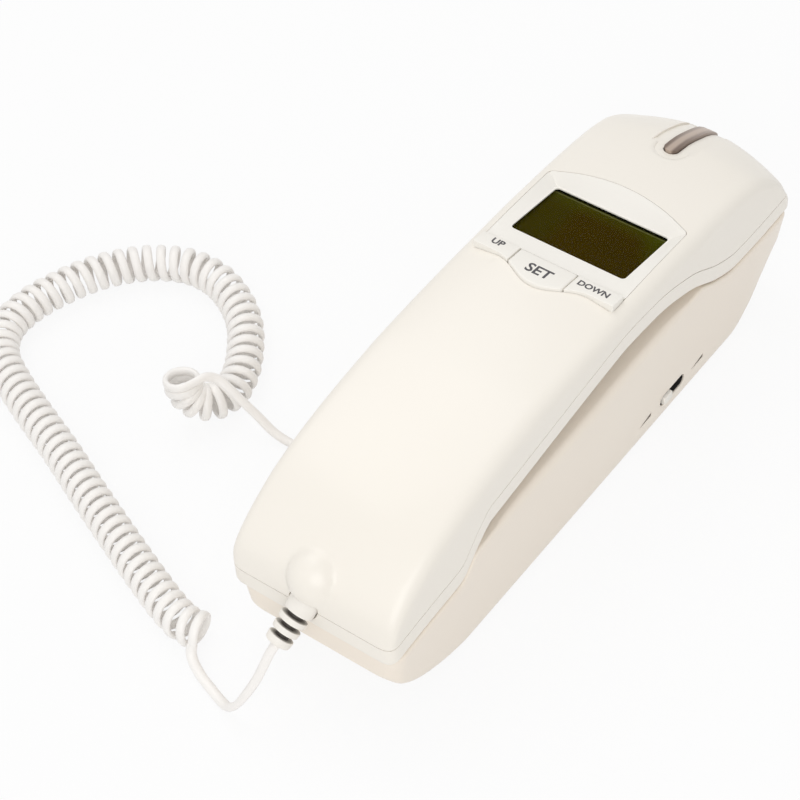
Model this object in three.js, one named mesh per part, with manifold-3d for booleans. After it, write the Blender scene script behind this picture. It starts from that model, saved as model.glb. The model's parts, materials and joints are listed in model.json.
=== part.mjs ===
// Slimline corded wall phone with a caller display, lying on its back with the handset in its base.
// Millimetres. X runs across, Y runs along to the ear end, Z is up from the table. Y = 0 is mid-length.
import * as THREE from 'three';
import { mergeVertices } from 'three/addons/utils/BufferGeometryUtils.js';
import Module from 'manifold-3d';

const wasm = await Module();
wasm.setup();

// ---- driving dimensions ----
const phoneLength = 208.5;
const phoneWidth = 56;
const phoneHeight = 67;       // side of the handset's back at its highest
const fitGap = 0.3;           // between pieces that seat on or in each other
const runGap = 0.35;          // round a piece that slides

// handset shells
const handsetWall = 2.2;
const crownRise = 2;          // the back is domed across its width
const earCrownRise = 8;       // more of it at the very ear end
const earCrownLength = 40;
const earBow = 2.5;           // the ear end is bowed seen from above
const shoulderRadius = 4.5;
const lipRadius = 1.6;        // lower edge of the handset's sides
const endCornerRadius = 3.5;  // corners of the outline seen from above
const partingRise = 7;        // joint line of the two shells, above the lower edge
const gripSlope = 0.13;       // rise of the key face per millimetre towards the ear end
const gripStartHeight = 44;   // key face height at its mouth end
const gripStart = 0.24 * phoneLength;   // distance of that end from the mouth tip
const gripLength = 0.288 * phoneLength;
const gripEase = 3;           // the key face runs on so far under its mouth-side edge

// sound ends
const earInset = 27;          // centre of the ear cap, from the ear end
const earCapRadius = 19.5;
const earCapBottom = 27.5;
const mouthInset = 24;
const mouthCapRadius = 15;
const mouthCapBottom = 24;
const capWall = 2;
const receiverHeight = 9;
const microphoneRadius = 4.9;
const microphoneHeight = 6;
const soundHoleRadius = 1.1;
const soundHoleRing = 5.5;
const soundHoleCount = 6;

// display panel, flat and tilted down towards the ear end
const displayFromEar = 71.5;
const displayHeight = 65.1;    // bezel face, at the middle of the window
const displayTilt = 8.6;      // degrees
const windowWidth = 39.2;
const windowLength = 24.4;
const windowThickness = 1.5;
const windowLip = 1.2;        // bezel left standing over the window
const windowOverlap = 1.4;    // window hidden under the bezel on each side
const bezelSideMargin = 4;
const bezelWidth = phoneWidth - 2 * bezelSideMargin;
const bezelTopMargin = 2;      // at its corners
const bezelTopBow = 4.7;
const bezelKeyMargin = 5.6;
const bezelDepth = 6.2;
const panelReach = 14;        // cutting forms stand so far above the bezel face
const collarWall = 1.6;       // wall of the shell down round the panel
const collarDepth = 2.5;      // below the bezel face
const panelCorner = 1.2;
const lcdThickness = 3;
const displayBoardThickness = 1.2;
const displayBoardWidth = 38;

// display keys: up, set and down
const displayKeyLength = 7.8;
const displayKeyProud = 0.6;
const displayKeyTravel = 1;
const setKeyWidth = 20;
const setKeyLobe = 5.6;
const setKeyLobeWidth = 18;
const keyGap = 0.4;

// ring lamp at the ear end
const lampLength = 26.7;
const lampWidth = 4.6;
const lampFromEarEnd = 19.1;  // centre of the lens
const lampProud = 0.9;
const lampDepth = 3;
const lampGrooveWidth = 11;
const lampGrooveDepth = 1.1;
const ledRadius = 2.5;
const ledHeight = 8;

// keypad on the face side
const keyColumns = 3;
const keyRows = 4;
const keyPitchX = 13;
const keyPitchY = 0.19 * gripLength;
const keyWidth = 9.6;
const keyLength = 0.58 * keyPitchY;
const keyCorner = 2.6;
const keyProud = 1.2;
const keyTravel = 1.2;
const keyFlange = 0.9;
const keyFlangeThickness = 1;
const functionKeyLength = 5;
const matThickness = 1.5;
const matWidth = 38;
const boardThickness = 1.6;
const handsetBoardWidth = 45;
const postRadius = 1.5;

// cord boot
const domeRadius = 7.6;
const domeHeight = 42.5;
const bootAngle = 40;         // degrees below level
const bootRootRadius = 4.6;
const bootTipRadius = 3.8;
const bootLength = 14;
const bootRootLength = 8;
const bootGrooves = 3;
const bootGrooveWidth = 1.5;
const bootGrooveDepth = 1.2;

// handset and base screws
const screwHeadRadius = 2.7;
const screwHeadHeight = 1.5;
const screwShankRadius = 1.3;
const screwShankLength = 9;
const upperScrewFromEar = 51.5;
const lowerScrewFromMouth = gripStart - 5;
const bossRadius = 3.6;
const threadGap = 0.15;

// base
const baseWall = 2.2;
const baseTaper = 1.6;        // the sides draw in towards the table
const rimGap = 0.6;           // rim to handset
const rimRadius = 3;
const baseCornerRadius = 4.5;
const bilgeRadius = 2.6;
const baseMouthInset = 2;
const baseEarInset = 1;
const flatUnderside = 3;      // height up to which the underside counts as flat
const cupClearance = 0.8;
const dishDepth = 4.5;
const dishHalfWidth = 19;
const dishLength = 0.46 * phoneLength;
const dishFromMouth = 0.24 * phoneLength;
const footProud = 0.8;
const footRadius = 4.5;
const footHeight = 1.7;
const footX = 17;
const footFromEnd = 45;
const plateThickness = 2.4;
const plateWidth = 44;
const plateFromMouth = 37;
const plateFromEar = 33.5;
const plateCorner = 6;
const plateLedge = 1.2;
const ledgeWidth = 2.5;
const keyholeSpacing = 85.7;
const keyholeRadius = 4.5;
const keyholeSlotWidth = 4.6;
const keyholeSlotLength = 8;
const mouthBossInset = 44;
const earBossInset = 43.5;
const ballastWidth = 28;
const ballastGap = 10;        // to the sockets at both ends
const ballastHeight = 7;
const baseBoardWidth = 42;
const baseBoardFromMouth = 55;
const baseBoardFromEar = 47.5;
const sounderRadius = 12;
const sounderHeight = 5;

// sockets, on the left side
const jackWidth = 13;
const jackHeight = 11;
const jackDepth = 15;
const jackSetBack = 1;
const handsetJackFromMouth = 68;
const handsetSocketWidth = 8.2;
const lineJackFromEar = 56.5;
const lineSocketWidth = 9.8;
const socketHeight = 6.8;
const socketDepth = 11;
const plugLength = 11.5;
const plugTailLength = 8;

// ringer switch, on the right side
const ringerFromEar = 67.5;
const ringerHeight = 8.9;
const ringerSlotLength = 10.5;
const ringerSlotHeight = 3.4;
const ringerKnobLength = 4.4;
const ringerKnobHeight = 2.8;
const ringerTravel = 5.4;
const ringerBodyLength = 14;
const ringerBodyDepth = 6;
const ringerBodyHeight = 8;
const ringerSetBack = 1.2;    // body behind the wall
const ringerKnobInset = 0.4;  // knob face inside the widest line of the phone

// hook switch under the handset
const hookFromEar = 56.5;
const hookPlungerRadius = 3;
const hookFlangeRadius = 4.4;
const hookTravel = 4;
const hookTopGap = 0.5;       // below the handset at rest
const hookStopGap = 1.8;      // left above the flange when it is fully up
const hookFlangeThickness = 1.6;
const hookSwitchHeight = 6;
const hookSwitchLength = 12;
const hookSwitchWidth = 8;

// handset cord
const cordWidth = 1.8;        // along the axis of a curl
const cordThickness = 1.8;
const leadDiameter = 2.6;
const coilRadius = 5;         // to the middle of the cord
const coilCurls = 70;
const stepsPerCurl = 8;
const coilPhase = 1.9;        // where the first curl starts round the coil
const coilLead = 0.45;        // how much further apart the first curls stand
const coilTail = 2.2;         // straight end of the curled cord

const halfLength = phoneLength / 2;
const halfWidth = phoneWidth / 2;
const fromMouth = (distance) => distance - halfLength;
const fromEar = (distance) => halfLength - distance;
const degrees = (angle) => angle * Math.PI / 180;
const overTop = 100;          // cutting forms run past every piece, above and below
const underAll = -10;
const lampColumnLow = 40;
const crossMargin = 20;

// ---- profile curves seen from the side ----
// Drawn in hundredths of the phone's length and height, from the mouth tip and from the table.
const profilePoints = (shares) => shares.map(([x, z]) => [x / 100 * phoneLength, z / 100 * phoneHeight]);

const handsetTopPoints = profilePoints([
  [0, 55.2], [0.96, 63.4], [2.88, 70.2], [6, 77.2], [11, 85.1], [18.2, 91.6], [26.4, 96], [36, 99],
  [49.4, 100], [61.4, 99.7], [71.9, 98.2], [81.5, 95.5], [88.3, 91.3], [93.5, 82.4], [96.9, 72.4],
  [98.8, 61.9], [100, 56.7],
]);
const gripEnd = gripStart + gripLength;
const gripEndHeight = gripStartHeight + gripLength * gripSlope;
const handsetLowPoints = [
  ...profilePoints([[0, 42.2], [3.84, 43.9], [9.6, 45.7], [15.35, 47.2], [19.2, 57.5]]),
  [gripStart - gripEase, gripStartHeight - gripEase * gripSlope], [gripStart, gripStartHeight],
  [gripEnd, gripEndHeight],
  ...profilePoints([
    [54.7, 77.8], [62.4, 76.4], [71, 69.4], [78.7, 56.7], [83.5, 52.1], [91.1, 51.3], [100, 51.9],
  ]),
];
const slotRimPoints = profilePoints([
  [17.3, 55.2], [21.6, 56.7], [26.9, 58.2], [43.2, 60.3], [67.2, 63.1], [76.7, 62.1],
]);
const baseLowPoints = [
  ...profilePoints([[0.96, 26.9], [2.88, 19.4], [5.76, 12.2], [9.6, 6.6], [13.9, 2.7]]),
  [plateFromMouth - 1, footProud], [phoneLength - plateFromEar + 1, footProud],
  ...profilePoints([[89.2, 8.4], [93, 19.7], [96.6, 29.3], [99.5, 35.8]]),
];

// Smooth curve through points that never overshoots them, as a function of the distance.
function profileCurve(points) {
  const count = points.length;
  const slopes = [];
  for (let i = 0; i < count - 1; i++) {
    slopes.push((points[i + 1][1] - points[i][1]) / (points[i + 1][0] - points[i][0]));
  }
  const tangents = [slopes[0]];
  for (let i = 1; i < count - 1; i++) {
    const sameWay = slopes[i - 1] * slopes[i] > 0;
    tangents.push(sameWay ? 2 * slopes[i - 1] * slopes[i] / (slopes[i - 1] + slopes[i]) : 0);
  }
  tangents.push(slopes[count - 2]);
  return (distance) => {
    const clamped = Math.min(Math.max(distance, points[0][0]), points[count - 1][0]);
    let i = 0;
    while (i < count - 2 && clamped > points[i + 1][0]) i++;
    const span = points[i + 1][0] - points[i][0];
    const t = (clamped - points[i][0]) / span;
    const startPart = (1 + 2 * t) * (1 - t) ** 2 * points[i][1] + t * (1 - t) ** 2 * span * tangents[i];
    const endPart = t * t * (3 - 2 * t) * points[i + 1][1] - t * t * (1 - t) * span * tangents[i + 1];
    return startPart + endPart;
  };
}

const handsetTop = profileCurve(handsetTopPoints);
const handsetLow = profileCurve(handsetLowPoints);
const slotRim = profileCurve(slotRimPoints);
const baseLow = profileCurve(baseLowPoints);

// The base's rim follows the handset's edge at both ends and stands away from it at the grip.
const baseRim = (distance) => Math.min(handsetLow(distance) - rimGap, slotRim(distance));

// Height of a curve's offset: walls keep their thickness where the curve is steep.
function offsetHeight(curve, distance, offset) {
  const reach = 0.5;
  const slope = (curve(distance + reach) - curve(distance - reach)) / (2 * reach);
  return curve(distance) + offset * Math.min(1.8, Math.hypot(1, slope));
}

// Extra dome across the width towards the ear end.
function crownAt(distance) {
  const share = Math.max(0, 1 - (phoneLength - distance) / earCrownLength);
  return crownRise + earCrownRise * share ** 3;
}

// ---- solids ----
function solidFrom(geometry) {
  const bare = geometry.clone();
  bare.deleteAttribute('normal');
  bare.deleteAttribute('uv');
  const merged = mergeVertices(bare, 1e-4);
  const index = merged.index.array;
  const kept = [];
  for (let i = 0; i < index.length; i += 3) {
    const [a, b, c] = [index[i], index[i + 1], index[i + 2]];
    if (a !== b && b !== c && c !== a) kept.push(a, b, c);
  }
  return new wasm.Manifold(new wasm.Mesh({
    numProp: 3,
    vertProperties: Float32Array.from(merged.attributes.position.array),
    triVerts: Uint32Array.from(kept),
  }));
}

function geometryFrom(solid) {
  const mesh = solid.getMesh();
  const geometry = new THREE.BufferGeometry();
  geometry.setAttribute('position', new THREE.BufferAttribute(Float32Array.from(mesh.vertProperties), 3));
  geometry.setIndex(new THREE.BufferAttribute(Uint32Array.from(mesh.triVerts), 1));
  geometry.computeVertexNormals();
  return geometry;
}

const join = (first, ...others) => others.reduce((sum, other) => sum.add(other), first);
const cut = (first, ...others) => others.reduce((rest, other) => rest.subtract(other), first);

function block(sizeX, sizeY, sizeZ, x, y, lowZ) {
  return solidFrom(new THREE.BoxGeometry(sizeX, sizeY, sizeZ).translate(x, y, lowZ + sizeZ / 2));
}

function roundBar(radius, lowZ, highZ, x, y, sides = 24) {
  const geometry = new THREE.CylinderGeometry(radius, radius, highZ - lowZ, sides).rotateX(Math.PI / 2);
  return solidFrom(geometry.translate(x, y, (lowZ + highZ) / 2));
}

// Turned piece about Z: points are [radius, height], from the axis round to the axis.
function turned(points, sides = 24) {
  const outline = points.map(([radius, height]) => new THREE.Vector2(radius, height));
  return solidFrom(new THREE.LatheGeometry(outline, sides).rotateX(Math.PI / 2));
}

function roundedOutline(width, length, radius, x = 0, y = 0) {
  const shape = new THREE.Shape();
  const [w, l] = [width / 2, length / 2];
  shape.moveTo(x - w + radius, y - l);
  shape.lineTo(x + w - radius, y - l);
  shape.absarc(x + w - radius, y - l + radius, radius, -Math.PI / 2, 0);
  shape.lineTo(x + w, y + l - radius);
  shape.absarc(x + w - radius, y + l - radius, radius, 0, Math.PI / 2);
  shape.lineTo(x - w + radius, y + l);
  shape.absarc(x - w + radius, y + l - radius, radius, Math.PI / 2, Math.PI);
  shape.lineTo(x - w, y - l + radius);
  shape.absarc(x - w + radius, y - l + radius, radius, Math.PI, 1.5 * Math.PI);
  return shape;
}

// The phone seen from above: rounded corners and a bowed ear end.
function planOutline(mouthEnd, earEnd, radius, offset) {
  const shape = new THREE.Shape();
  const w = halfWidth - offset;
  const flat = w - radius;
  const start = fromMouth(mouthEnd + offset);
  const middle = fromEar(earEnd + offset);
  const bowAtCorner = earBow * (flat / w) ** 2;
  shape.moveTo(-flat, start);
  shape.lineTo(flat, start);
  shape.absarc(flat, start + radius, radius, -Math.PI / 2, 0);
  shape.lineTo(w, middle - earBow - radius);
  shape.quadraticCurveTo(w, middle - earBow, flat, middle - bowAtCorner);
  shape.quadraticCurveTo(0, middle + bowAtCorner, -flat, middle - bowAtCorner);
  shape.quadraticCurveTo(-w, middle - earBow, -w, middle - earBow - radius);
  shape.lineTo(-w, start + radius);
  shape.absarc(-flat, start + radius, radius, Math.PI, 1.5 * Math.PI);
  return shape;
}

function extruded(shape, lowZ, highZ, curveSegments = 4) {
  const depth = highZ - lowZ;
  const geometry = new THREE.ExtrudeGeometry(shape, { depth, bevelEnabled: false, curveSegments });
  return solidFrom(geometry.translate(0, 0, lowZ));
}

// Skin over rings of points that all have the same count, closed by a fan at each end.
function lofted(rings) {
  const count = rings[0].length;
  const positions = rings.flat().flat();
  const triangles = [];
  for (let r = 0; r < rings.length - 1; r++) {
    for (let i = 0; i < count; i++) {
      const a = r * count + i;
      const b = r * count + (i + 1) % count;
      triangles.push(a, a + count, b, b, a + count, b + count);
    }
  }
  const last = (rings.length - 1) * count;
  for (let i = 1; i < count - 1; i++) {
    triangles.push(0, i, i + 1, last, last + i + 1, last + i);
  }
  const geometry = new THREE.BufferGeometry();
  geometry.setAttribute('position', new THREE.BufferAttribute(Float32Array.from(positions), 3));
  geometry.setIndex(triangles);
  const solid = solidFrom(geometry);
  if (solid.volume() > 0) return solid;
  const turnedOver = [];
  for (let i = 0; i < triangles.length; i += 3) {
    turnedOver.push(triangles[i], triangles[i + 2], triangles[i + 1]);
  }
  geometry.setIndex(turnedOver);
  return solidFrom(geometry);
}

// Cross-section at one distance: crown, shoulders, sides with a taper, and lower corners.
function sectionRing(distance, shape) {
  const { half, taper, low, high, crown, topRadius, lowRadius, crownSteps, arcSteps } = shape;
  const room = Math.max(0.2, high - low);
  const upper = Math.min(topRadius, room * 0.45, half * 0.5);
  const lower = Math.min(lowRadius, room * 0.45, half * 0.5);
  const lowHalf = half - taper;
  const y = fromMouth(distance);
  const ring = [];
  for (let i = 0; i <= crownSteps; i++) {
    const x = (half - upper) * (1 - 2 * i / crownSteps);
    const rise = crown * (1 - (x / (half - upper)) ** 2);
    ring.push([x, y, high + rise]);
  }
  for (let i = 1; i <= arcSteps; i++) {
    const angle = Math.PI / 2 * (1 + i / arcSteps);
    ring.push([-half + upper + upper * Math.cos(angle), y, high - upper + upper * Math.sin(angle)]);
  }
  for (let i = 0; i <= arcSteps - 1; i++) {
    const angle = Math.PI * (1 + i / (arcSteps - 1) / 2);
    ring.push([-lowHalf + lower + lower * Math.cos(angle), y, low + lower + lower * Math.sin(angle)]);
  }
  const right = ring.slice(crownSteps + 1).map(([x, ringY, z]) => [-x, ringY, z]).reverse();
  return [...ring, ...right];
}

// Distances along the phone that crowd towards both ends.
function stations(start, end, count) {
  const distances = [];
  for (let i = 0; i <= count; i++) {
    distances.push((start + end) / 2 - (end - start) / 2 * Math.cos(Math.PI * i / count));
  }
  return distances;
}

const outerSteps = { count: 24, crownSteps: 6, arcSteps: 3 };
const innerSteps = { count: 14, crownSteps: 3, arcSteps: 2 };
const endReach = 1;           // lofts run past the ends and are cut to the outline

// The handset's outer form, moved inwards by an offset (outwards where it is negative).
function handsetForm(offset, { count, crownSteps, arcSteps }) {
  const rings = stations(-endReach, phoneLength + endReach, count).map((distance) => sectionRing(distance, {
    half: halfWidth - offset,
    taper: 0,
    low: offsetHeight(handsetLow, distance, offset),
    high: offsetHeight(handsetTop, distance, -offset),
    crown: crownAt(distance),
    topRadius: shoulderRadius,
    lowRadius: lipRadius,
    crownSteps,
    arcSteps,
  }));
  return lofted(rings).intersect(extruded(planOutline(0, 0, endCornerRadius, offset), underAll, overTop));
}

// The floor is thick only where the underside is flat and carries the plate.
function floorThickness(distance, floor) {
  return baseLow(distance) < flatUnderside ? floor : Math.min(floor, baseWall * 1.4);
}

function baseForm(offset, floor, { count, crownSteps, arcSteps }) {
  const rings = stations(-endReach, phoneLength + endReach, count).map((distance) => sectionRing(distance, {
    half: halfWidth - offset,
    taper: baseTaper,
    low: baseLow(distance) + floorThickness(distance, floor),
    high: offsetHeight(baseRim, distance, -offset),
    crown: 0,
    topRadius: rimRadius,
    lowRadius: bilgeRadius,
    crownSteps,
    arcSteps,
  }));
  const outline = planOutline(baseMouthInset, baseEarInset, baseCornerRadius, offset);
  return lofted(rings).intersect(extruded(outline, underAll, overTop));
}

// Everything above (or below) a curve that runs along the phone, as a block across it.
function halfSpace(curve, start, end, farHeight) {
  const shape = new THREE.Shape();
  const steps = 24;
  shape.moveTo(fromMouth(start - crossMargin), farHeight);
  shape.lineTo(fromMouth(start - crossMargin), curve(start));
  for (let i = 0; i <= steps; i++) {
    const distance = start + (end - start) * i / steps;
    shape.lineTo(fromMouth(distance), curve(distance));
  }
  shape.lineTo(fromMouth(end + crossMargin), curve(end));
  shape.lineTo(fromMouth(end + crossMargin), farHeight);
  const depth = phoneWidth + crossMargin;
  const geometry = new THREE.ExtrudeGeometry(shape, { depth, bevelEnabled: false });
  geometry.translate(0, 0, -depth / 2);
  geometry.applyMatrix4(new THREE.Matrix4().set(0, 0, 1, 0, 1, 0, 0, 0, 0, 1, 0, 0, 0, 0, 0, 1));
  return solidFrom(geometry);
}

// ---- scene graph ----
const phone = new THREE.Group();

function addPiece(parent, name, solid, color, roughness, metalness = 0) {
  const material = new THREE.MeshStandardMaterial({ color, roughness, metalness });
  const mesh = new THREE.Mesh(solid instanceof THREE.BufferGeometry ? solid : geometryFrom(solid), material);
  mesh.name = name;
  parent.add(mesh);
  return mesh;
}

const shellColor = 0xefe9df;
const innerColor = 0xd8d4c8;
const boardColor = 0x2f6b3c;
const steelColor = 0x9a9a98;
const legendColor = 0x3b3b3d;

// A group tilted about X: solids modelled in it and cuts made for it share the matrix.
function tiltedGroup(distance, height, tilt) {
  const group = new THREE.Group();
  group.position.set(0, fromMouth(distance), height);
  group.rotation.x = tilt;
  group.updateMatrixWorld(true);
  phone.add(group);
  return group;
}

function inPhone(group, solid) {
  return solid.transform(group.matrixWorld.elements);
}

const displayDistance = phoneLength - displayFromEar;
const displayGroup = tiltedGroup(displayDistance, displayHeight, -degrees(displayTilt));
const keypadDistance = (gripStart + gripEnd) / 2;
const keypadGroup = tiltedGroup(keypadDistance, (gripStartHeight + gripEndHeight) / 2, Math.atan(gripSlope));

// ---- display panel ----
const bezelTop = windowLength / 2 + bezelTopMargin;
const bezelBottom = -windowLength / 2 - bezelKeyMargin;
const keyRowTop = bezelBottom - keyGap;
const keyRowBottom = keyRowTop - displayKeyLength;

function lobeOutline(grow) {
  const shape = new THREE.Shape();
  const halfLobe = setKeyLobeWidth / 2 + grow;
  const start = keyRowBottom + 1;
  shape.moveTo(-halfLobe, start);
  shape.absellipse(0, start, halfLobe, setKeyLobe + 1 + grow, Math.PI, 2 * Math.PI);
  shape.closePath();
  return shape;
}

// Panel seen square on, its ear-end edge bowed outwards.
function panelOutline(bottom, grow) {
  const shape = new THREE.Shape();
  const w = bezelWidth / 2 + grow;
  const low = bottom - grow;
  const corner = panelCorner + grow;
  const top = bezelTop + grow;
  shape.moveTo(-w + corner, low);
  shape.lineTo(w - corner, low);
  shape.absarc(w - corner, low + corner, corner, -Math.PI / 2, 0);
  shape.lineTo(w, top);
  shape.quadraticCurveTo(0, top + 2 * bezelTopBow, -w, top);
  shape.lineTo(-w, low + corner);
  shape.absarc(-w + corner, low + corner, corner, Math.PI, 1.5 * Math.PI);
  return shape;
}

function panelColumn(grow, lobeGrow, low) {
  const panel = extruded(panelOutline(keyRowBottom, grow), low, panelReach, 6);
  return inPhone(displayGroup, join(panel, extruded(lobeOutline(lobeGrow), low, panelReach, 6)));
}

function displayOpening() {
  return panelColumn(fitGap, runGap, -bezelDepth - 1);
}

function displayCollar() {
  return panelColumn(fitGap + collarWall, runGap + collarWall, -collarDepth);
}

function displayBezel() {
  const frame = extruded(panelOutline(bezelBottom, 0), -bezelDepth, 0, 6);
  const light = extruded(roundedOutline(windowWidth, windowLength, 1), -bezelDepth - 1, 1, 2);
  const pocketWidth = windowWidth + 2 * (windowOverlap + fitGap);
  const pocketLength = windowLength + 2 * (windowOverlap + fitGap);
  const pocketHeight = bezelDepth + 1 - windowLip;
  return cut(frame, light, block(pocketWidth, pocketLength, pocketHeight, 0, 0, -bezelDepth - 1));
}

const windowTop = -windowLip - fitGap;
const lcdTop = windowTop - windowThickness - fitGap;
const paneWidth = windowWidth + 2 * windowOverlap;
const paneLength = windowLength + 2 * windowOverlap;

function displayWindow() {
  return extruded(roundedOutline(paneWidth, paneLength, 0.8), windowTop - windowThickness, windowTop, 2);
}

function lcdModule() {
  return block(paneWidth, paneLength, lcdThickness, 0, 0, lcdTop - lcdThickness);
}

const displayBoardTop = lcdTop - lcdThickness - fitGap;

function displayBoard() {
  const boardEnd = paneLength / 2 + 1;
  const boardStart = keyRowBottom;
  const length = boardEnd - boardStart;
  return block(displayBoardWidth, length, displayBoardThickness, 0, (boardEnd + boardStart) / 2,
    displayBoardTop - displayBoardThickness);
}

const displayKeyLow = displayBoardTop + fitGap + displayKeyTravel;

function displayKeySolid(startX, endX) {
  const outline = roundedOutline(endX - startX, displayKeyLength, panelCorner, (startX + endX) / 2,
    (keyRowTop + keyRowBottom) / 2);
  return extruded(outline, displayKeyLow, displayKeyProud, 2);
}

function setKeySolid() {
  const bar = displayKeySolid(-setKeyWidth / 2, setKeyWidth / 2);
  return join(bar, extruded(lobeOutline(0), displayKeyLow, displayKeyProud, 6));
}

// ---- ring lamp ----
const lampY = fromEar(lampFromEarEnd);

function lampColumn(width, length) {
  return extruded(roundedOutline(width, length, width / 2 - 0.01, 0, lampY), lampColumnLow, overTop, 6);
}

function lampGroove() {
  const reach = lampFromEarEnd + 6;
  const length = lampLength / 2 + lampGrooveWidth / 2 - lampWidth / 2 + reach;
  const centre = lampY + reach - length / 2;
  const outline = roundedOutline(lampGrooveWidth, length, lampGrooveWidth / 2 - 0.01, 0, centre);
  const column = extruded(outline, lampColumnLow, overTop, 5);
  return cut(column, handsetForm(lampGrooveDepth, outerSteps));
}

function lampLens() {
  const skin = cut(handsetForm(lampGrooveDepth - lampProud, outerSteps), handsetForm(lampDepth, outerSteps));
  return lampColumn(lampWidth, lampLength).intersect(skin);
}

function lampLed() {
  const lampDistance = phoneLength - lampFromEarEnd;
  const crown = offsetHeight(handsetTop, lampDistance, -lampDepth) + crownAt(lampDistance);
  const top = crown - fitGap - 0.4;
  const solid = turned([[0, 0], [ledRadius, 0], [ledRadius, ledHeight - ledRadius],
    [ledRadius * 0.7, ledHeight - ledRadius * 0.3], [0, ledHeight]], 12);
  return solid.translate([0, lampY, top - ledHeight]);
}

// ---- cord boot ----
const domeDistance = domeRadius;

function domeBall() {
  const ball = solidFrom(new THREE.SphereGeometry(domeRadius, 14, 10));
  return ball.translate([0, fromMouth(domeDistance), domeHeight]);
}

// Solids modelled along +Z are turned to point out of the dome, down and away.
function alongBoot(solid) {
  return solid.rotate([90 + bootAngle, 0, 0]).translate([0, fromMouth(domeDistance), domeHeight]);
}

function bootBore() {
  const start = domeRadius - bootRootLength - 1;
  return alongBoot(roundBar(bootRootRadius + fitGap, start, domeRadius + 6, 0, 0, 14));
}

function cordBoot() {
  const start = domeRadius - bootRootLength;
  const end = domeRadius + bootLength;
  const radiusAt = (z) => bootRootRadius + (bootTipRadius - bootRootRadius) * (z - domeRadius) / bootLength;
  const pitch = bootLength / (bootGrooves + 1.4);
  const points = [[0, start], [bootRootRadius, start], [bootRootRadius, domeRadius]];
  for (let i = 0; i < bootGrooves; i++) {
    const low = domeRadius + pitch * (i + 0.8);
    const high = low + bootGrooveWidth;
    points.push([radiusAt(low), low], [radiusAt(low) - bootGrooveDepth, low]);
    points.push([radiusAt(high) - bootGrooveDepth, high], [radiusAt(high), high]);
  }
  points.push([bootTipRadius, end - 0.6], [bootTipRadius - 0.6, end], [0, end]);
  return alongBoot(turned(points, 12));
}

// ---- handset shells ----
const partingHeight = (distance) => handsetLow(distance) + partingRise;
const upperScrewY = fromEar(upperScrewFromEar);
const lowerScrewY = fromMouth(lowerScrewFromMouth);
const screwPadHeight = 6;
const counterboreDepth = 3;

function screwPlaces() {
  return [upperScrewY, lowerScrewY].map((y) => ({ y, low: handsetLow(y + halfLength) }));
}

function handsetBackShell() {
  const outer = handsetForm(0, outerSteps);
  const inner = handsetForm(handsetWall, innerSteps);
  const above = halfSpace((d) => partingHeight(d) + fitGap / 2, 0, phoneLength, overTop);
  let shell = outer.subtract(inner);
  shell = join(shell, domeBall().subtract(inner), displayCollar().intersect(outer));
  shell = shell.intersect(above);
  for (const { y, low } of screwPlaces()) {
    const boss = roundBar(bossRadius, low + screwPadHeight + fitGap, overTop, 0, y, 16).intersect(outer);
    const pilotTop = low + counterboreDepth + screwShankLength + 1;
    const pilot = roundBar(screwShankRadius + threadGap, underAll, pilotTop, 0, y, 12);
    shell = cut(join(shell, boss), pilot);
  }
  const lensHole = lampColumn(lampWidth + 2 * fitGap, lampLength + 2 * fitGap);
  return cut(shell, displayOpening(), lampGroove(), lensHole, bootBore());
}

function soundCap(y, radius, bottom) {
  const low = handsetLow(y + halfLength);
  return roundBar(radius, bottom, low + handsetWall - 0.2, 0, y, 24);
}

function soundCapHollow(y, radius, bottom) {
  return roundBar(radius - capWall, bottom + capWall, handsetLow(y + halfLength) + handsetWall + 6, 0, y, 20);
}

function soundHoles(y, bottom, count) {
  const holes = [roundBar(soundHoleRadius, bottom - 1, bottom + capWall + 1, 0, y, 8)];
  for (let i = 0; i < count; i++) {
    const angle = 2 * Math.PI * i / count;
    const [x, holeY] = [soundHoleRing * Math.cos(angle), y + soundHoleRing * Math.sin(angle)];
    holes.push(roundBar(soundHoleRadius, bottom - 1, bottom + capWall + 1, x, holeY, 8));
  }
  return holes;
}

const earY = fromEar(earInset);
const mouthY = fromMouth(mouthInset);

// ---- keypad: rows run from the ear end, columns from the holder's left (+X) ----
const keyNames = ['key_1', 'key_2', 'key_3', 'key_4', 'key_5', 'key_6', 'key_7', 'key_8', 'key_9',
  'key_star', 'key_0', 'key_hash'];
const functionKeyNames = ['flash_key', 'redial_key'];

function keyPlaces() {
  const places = keyNames.map((name, i) => {
    const row = Math.floor(i / keyColumns);
    const column = i % keyColumns;
    return { name, length: keyLength, x: keyPitchX * (1 - column), y: keyPitchY * (keyRows / 2 - row) };
  });
  functionKeyNames.forEach((name, i) => {
    const x = keyPitchX * (i === 0 ? 1 : -1);
    places.push({ name, length: functionKeyLength, x, y: -keyPitchY * keyRows / 2 });
  });
  return places;
}

function keyHole(place) {
  const [width, length] = [keyWidth + 2 * runGap, place.length + 2 * runGap];
  const outline = roundedOutline(width, length, keyCorner - 0.3, place.x, place.y);
  return inPhone(keypadGroup, extruded(outline, -3, handsetWall + 2, 2));
}

const keyFlangeLow = handsetWall + fitGap;
const matLow = keyFlangeLow + keyFlangeThickness + keyTravel + fitGap;
const boardLow = matLow + matThickness + fitGap;

function keypadKey(place) {
  const corner = place.length > functionKeyLength ? keyCorner : keyCorner - 0.6;
  const cap = extruded(roundedOutline(keyWidth, place.length, corner, place.x, place.y), -keyProud,
    keyFlangeLow + keyFlangeThickness, 2);
  const flange = block(keyWidth + 2 * keyFlange, place.length + 2 * keyFlange, keyFlangeThickness,
    place.x, place.y, keyFlangeLow);
  return join(cap, flange);
}

const matLength = keyPitchY * keyRows + keyLength + 4;
const handsetBoardLength = matLength + 2;

function keypadMat() {
  return extruded(roundedOutline(matWidth, matLength, 2), matLow, matLow + matThickness, 2);
}

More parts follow.
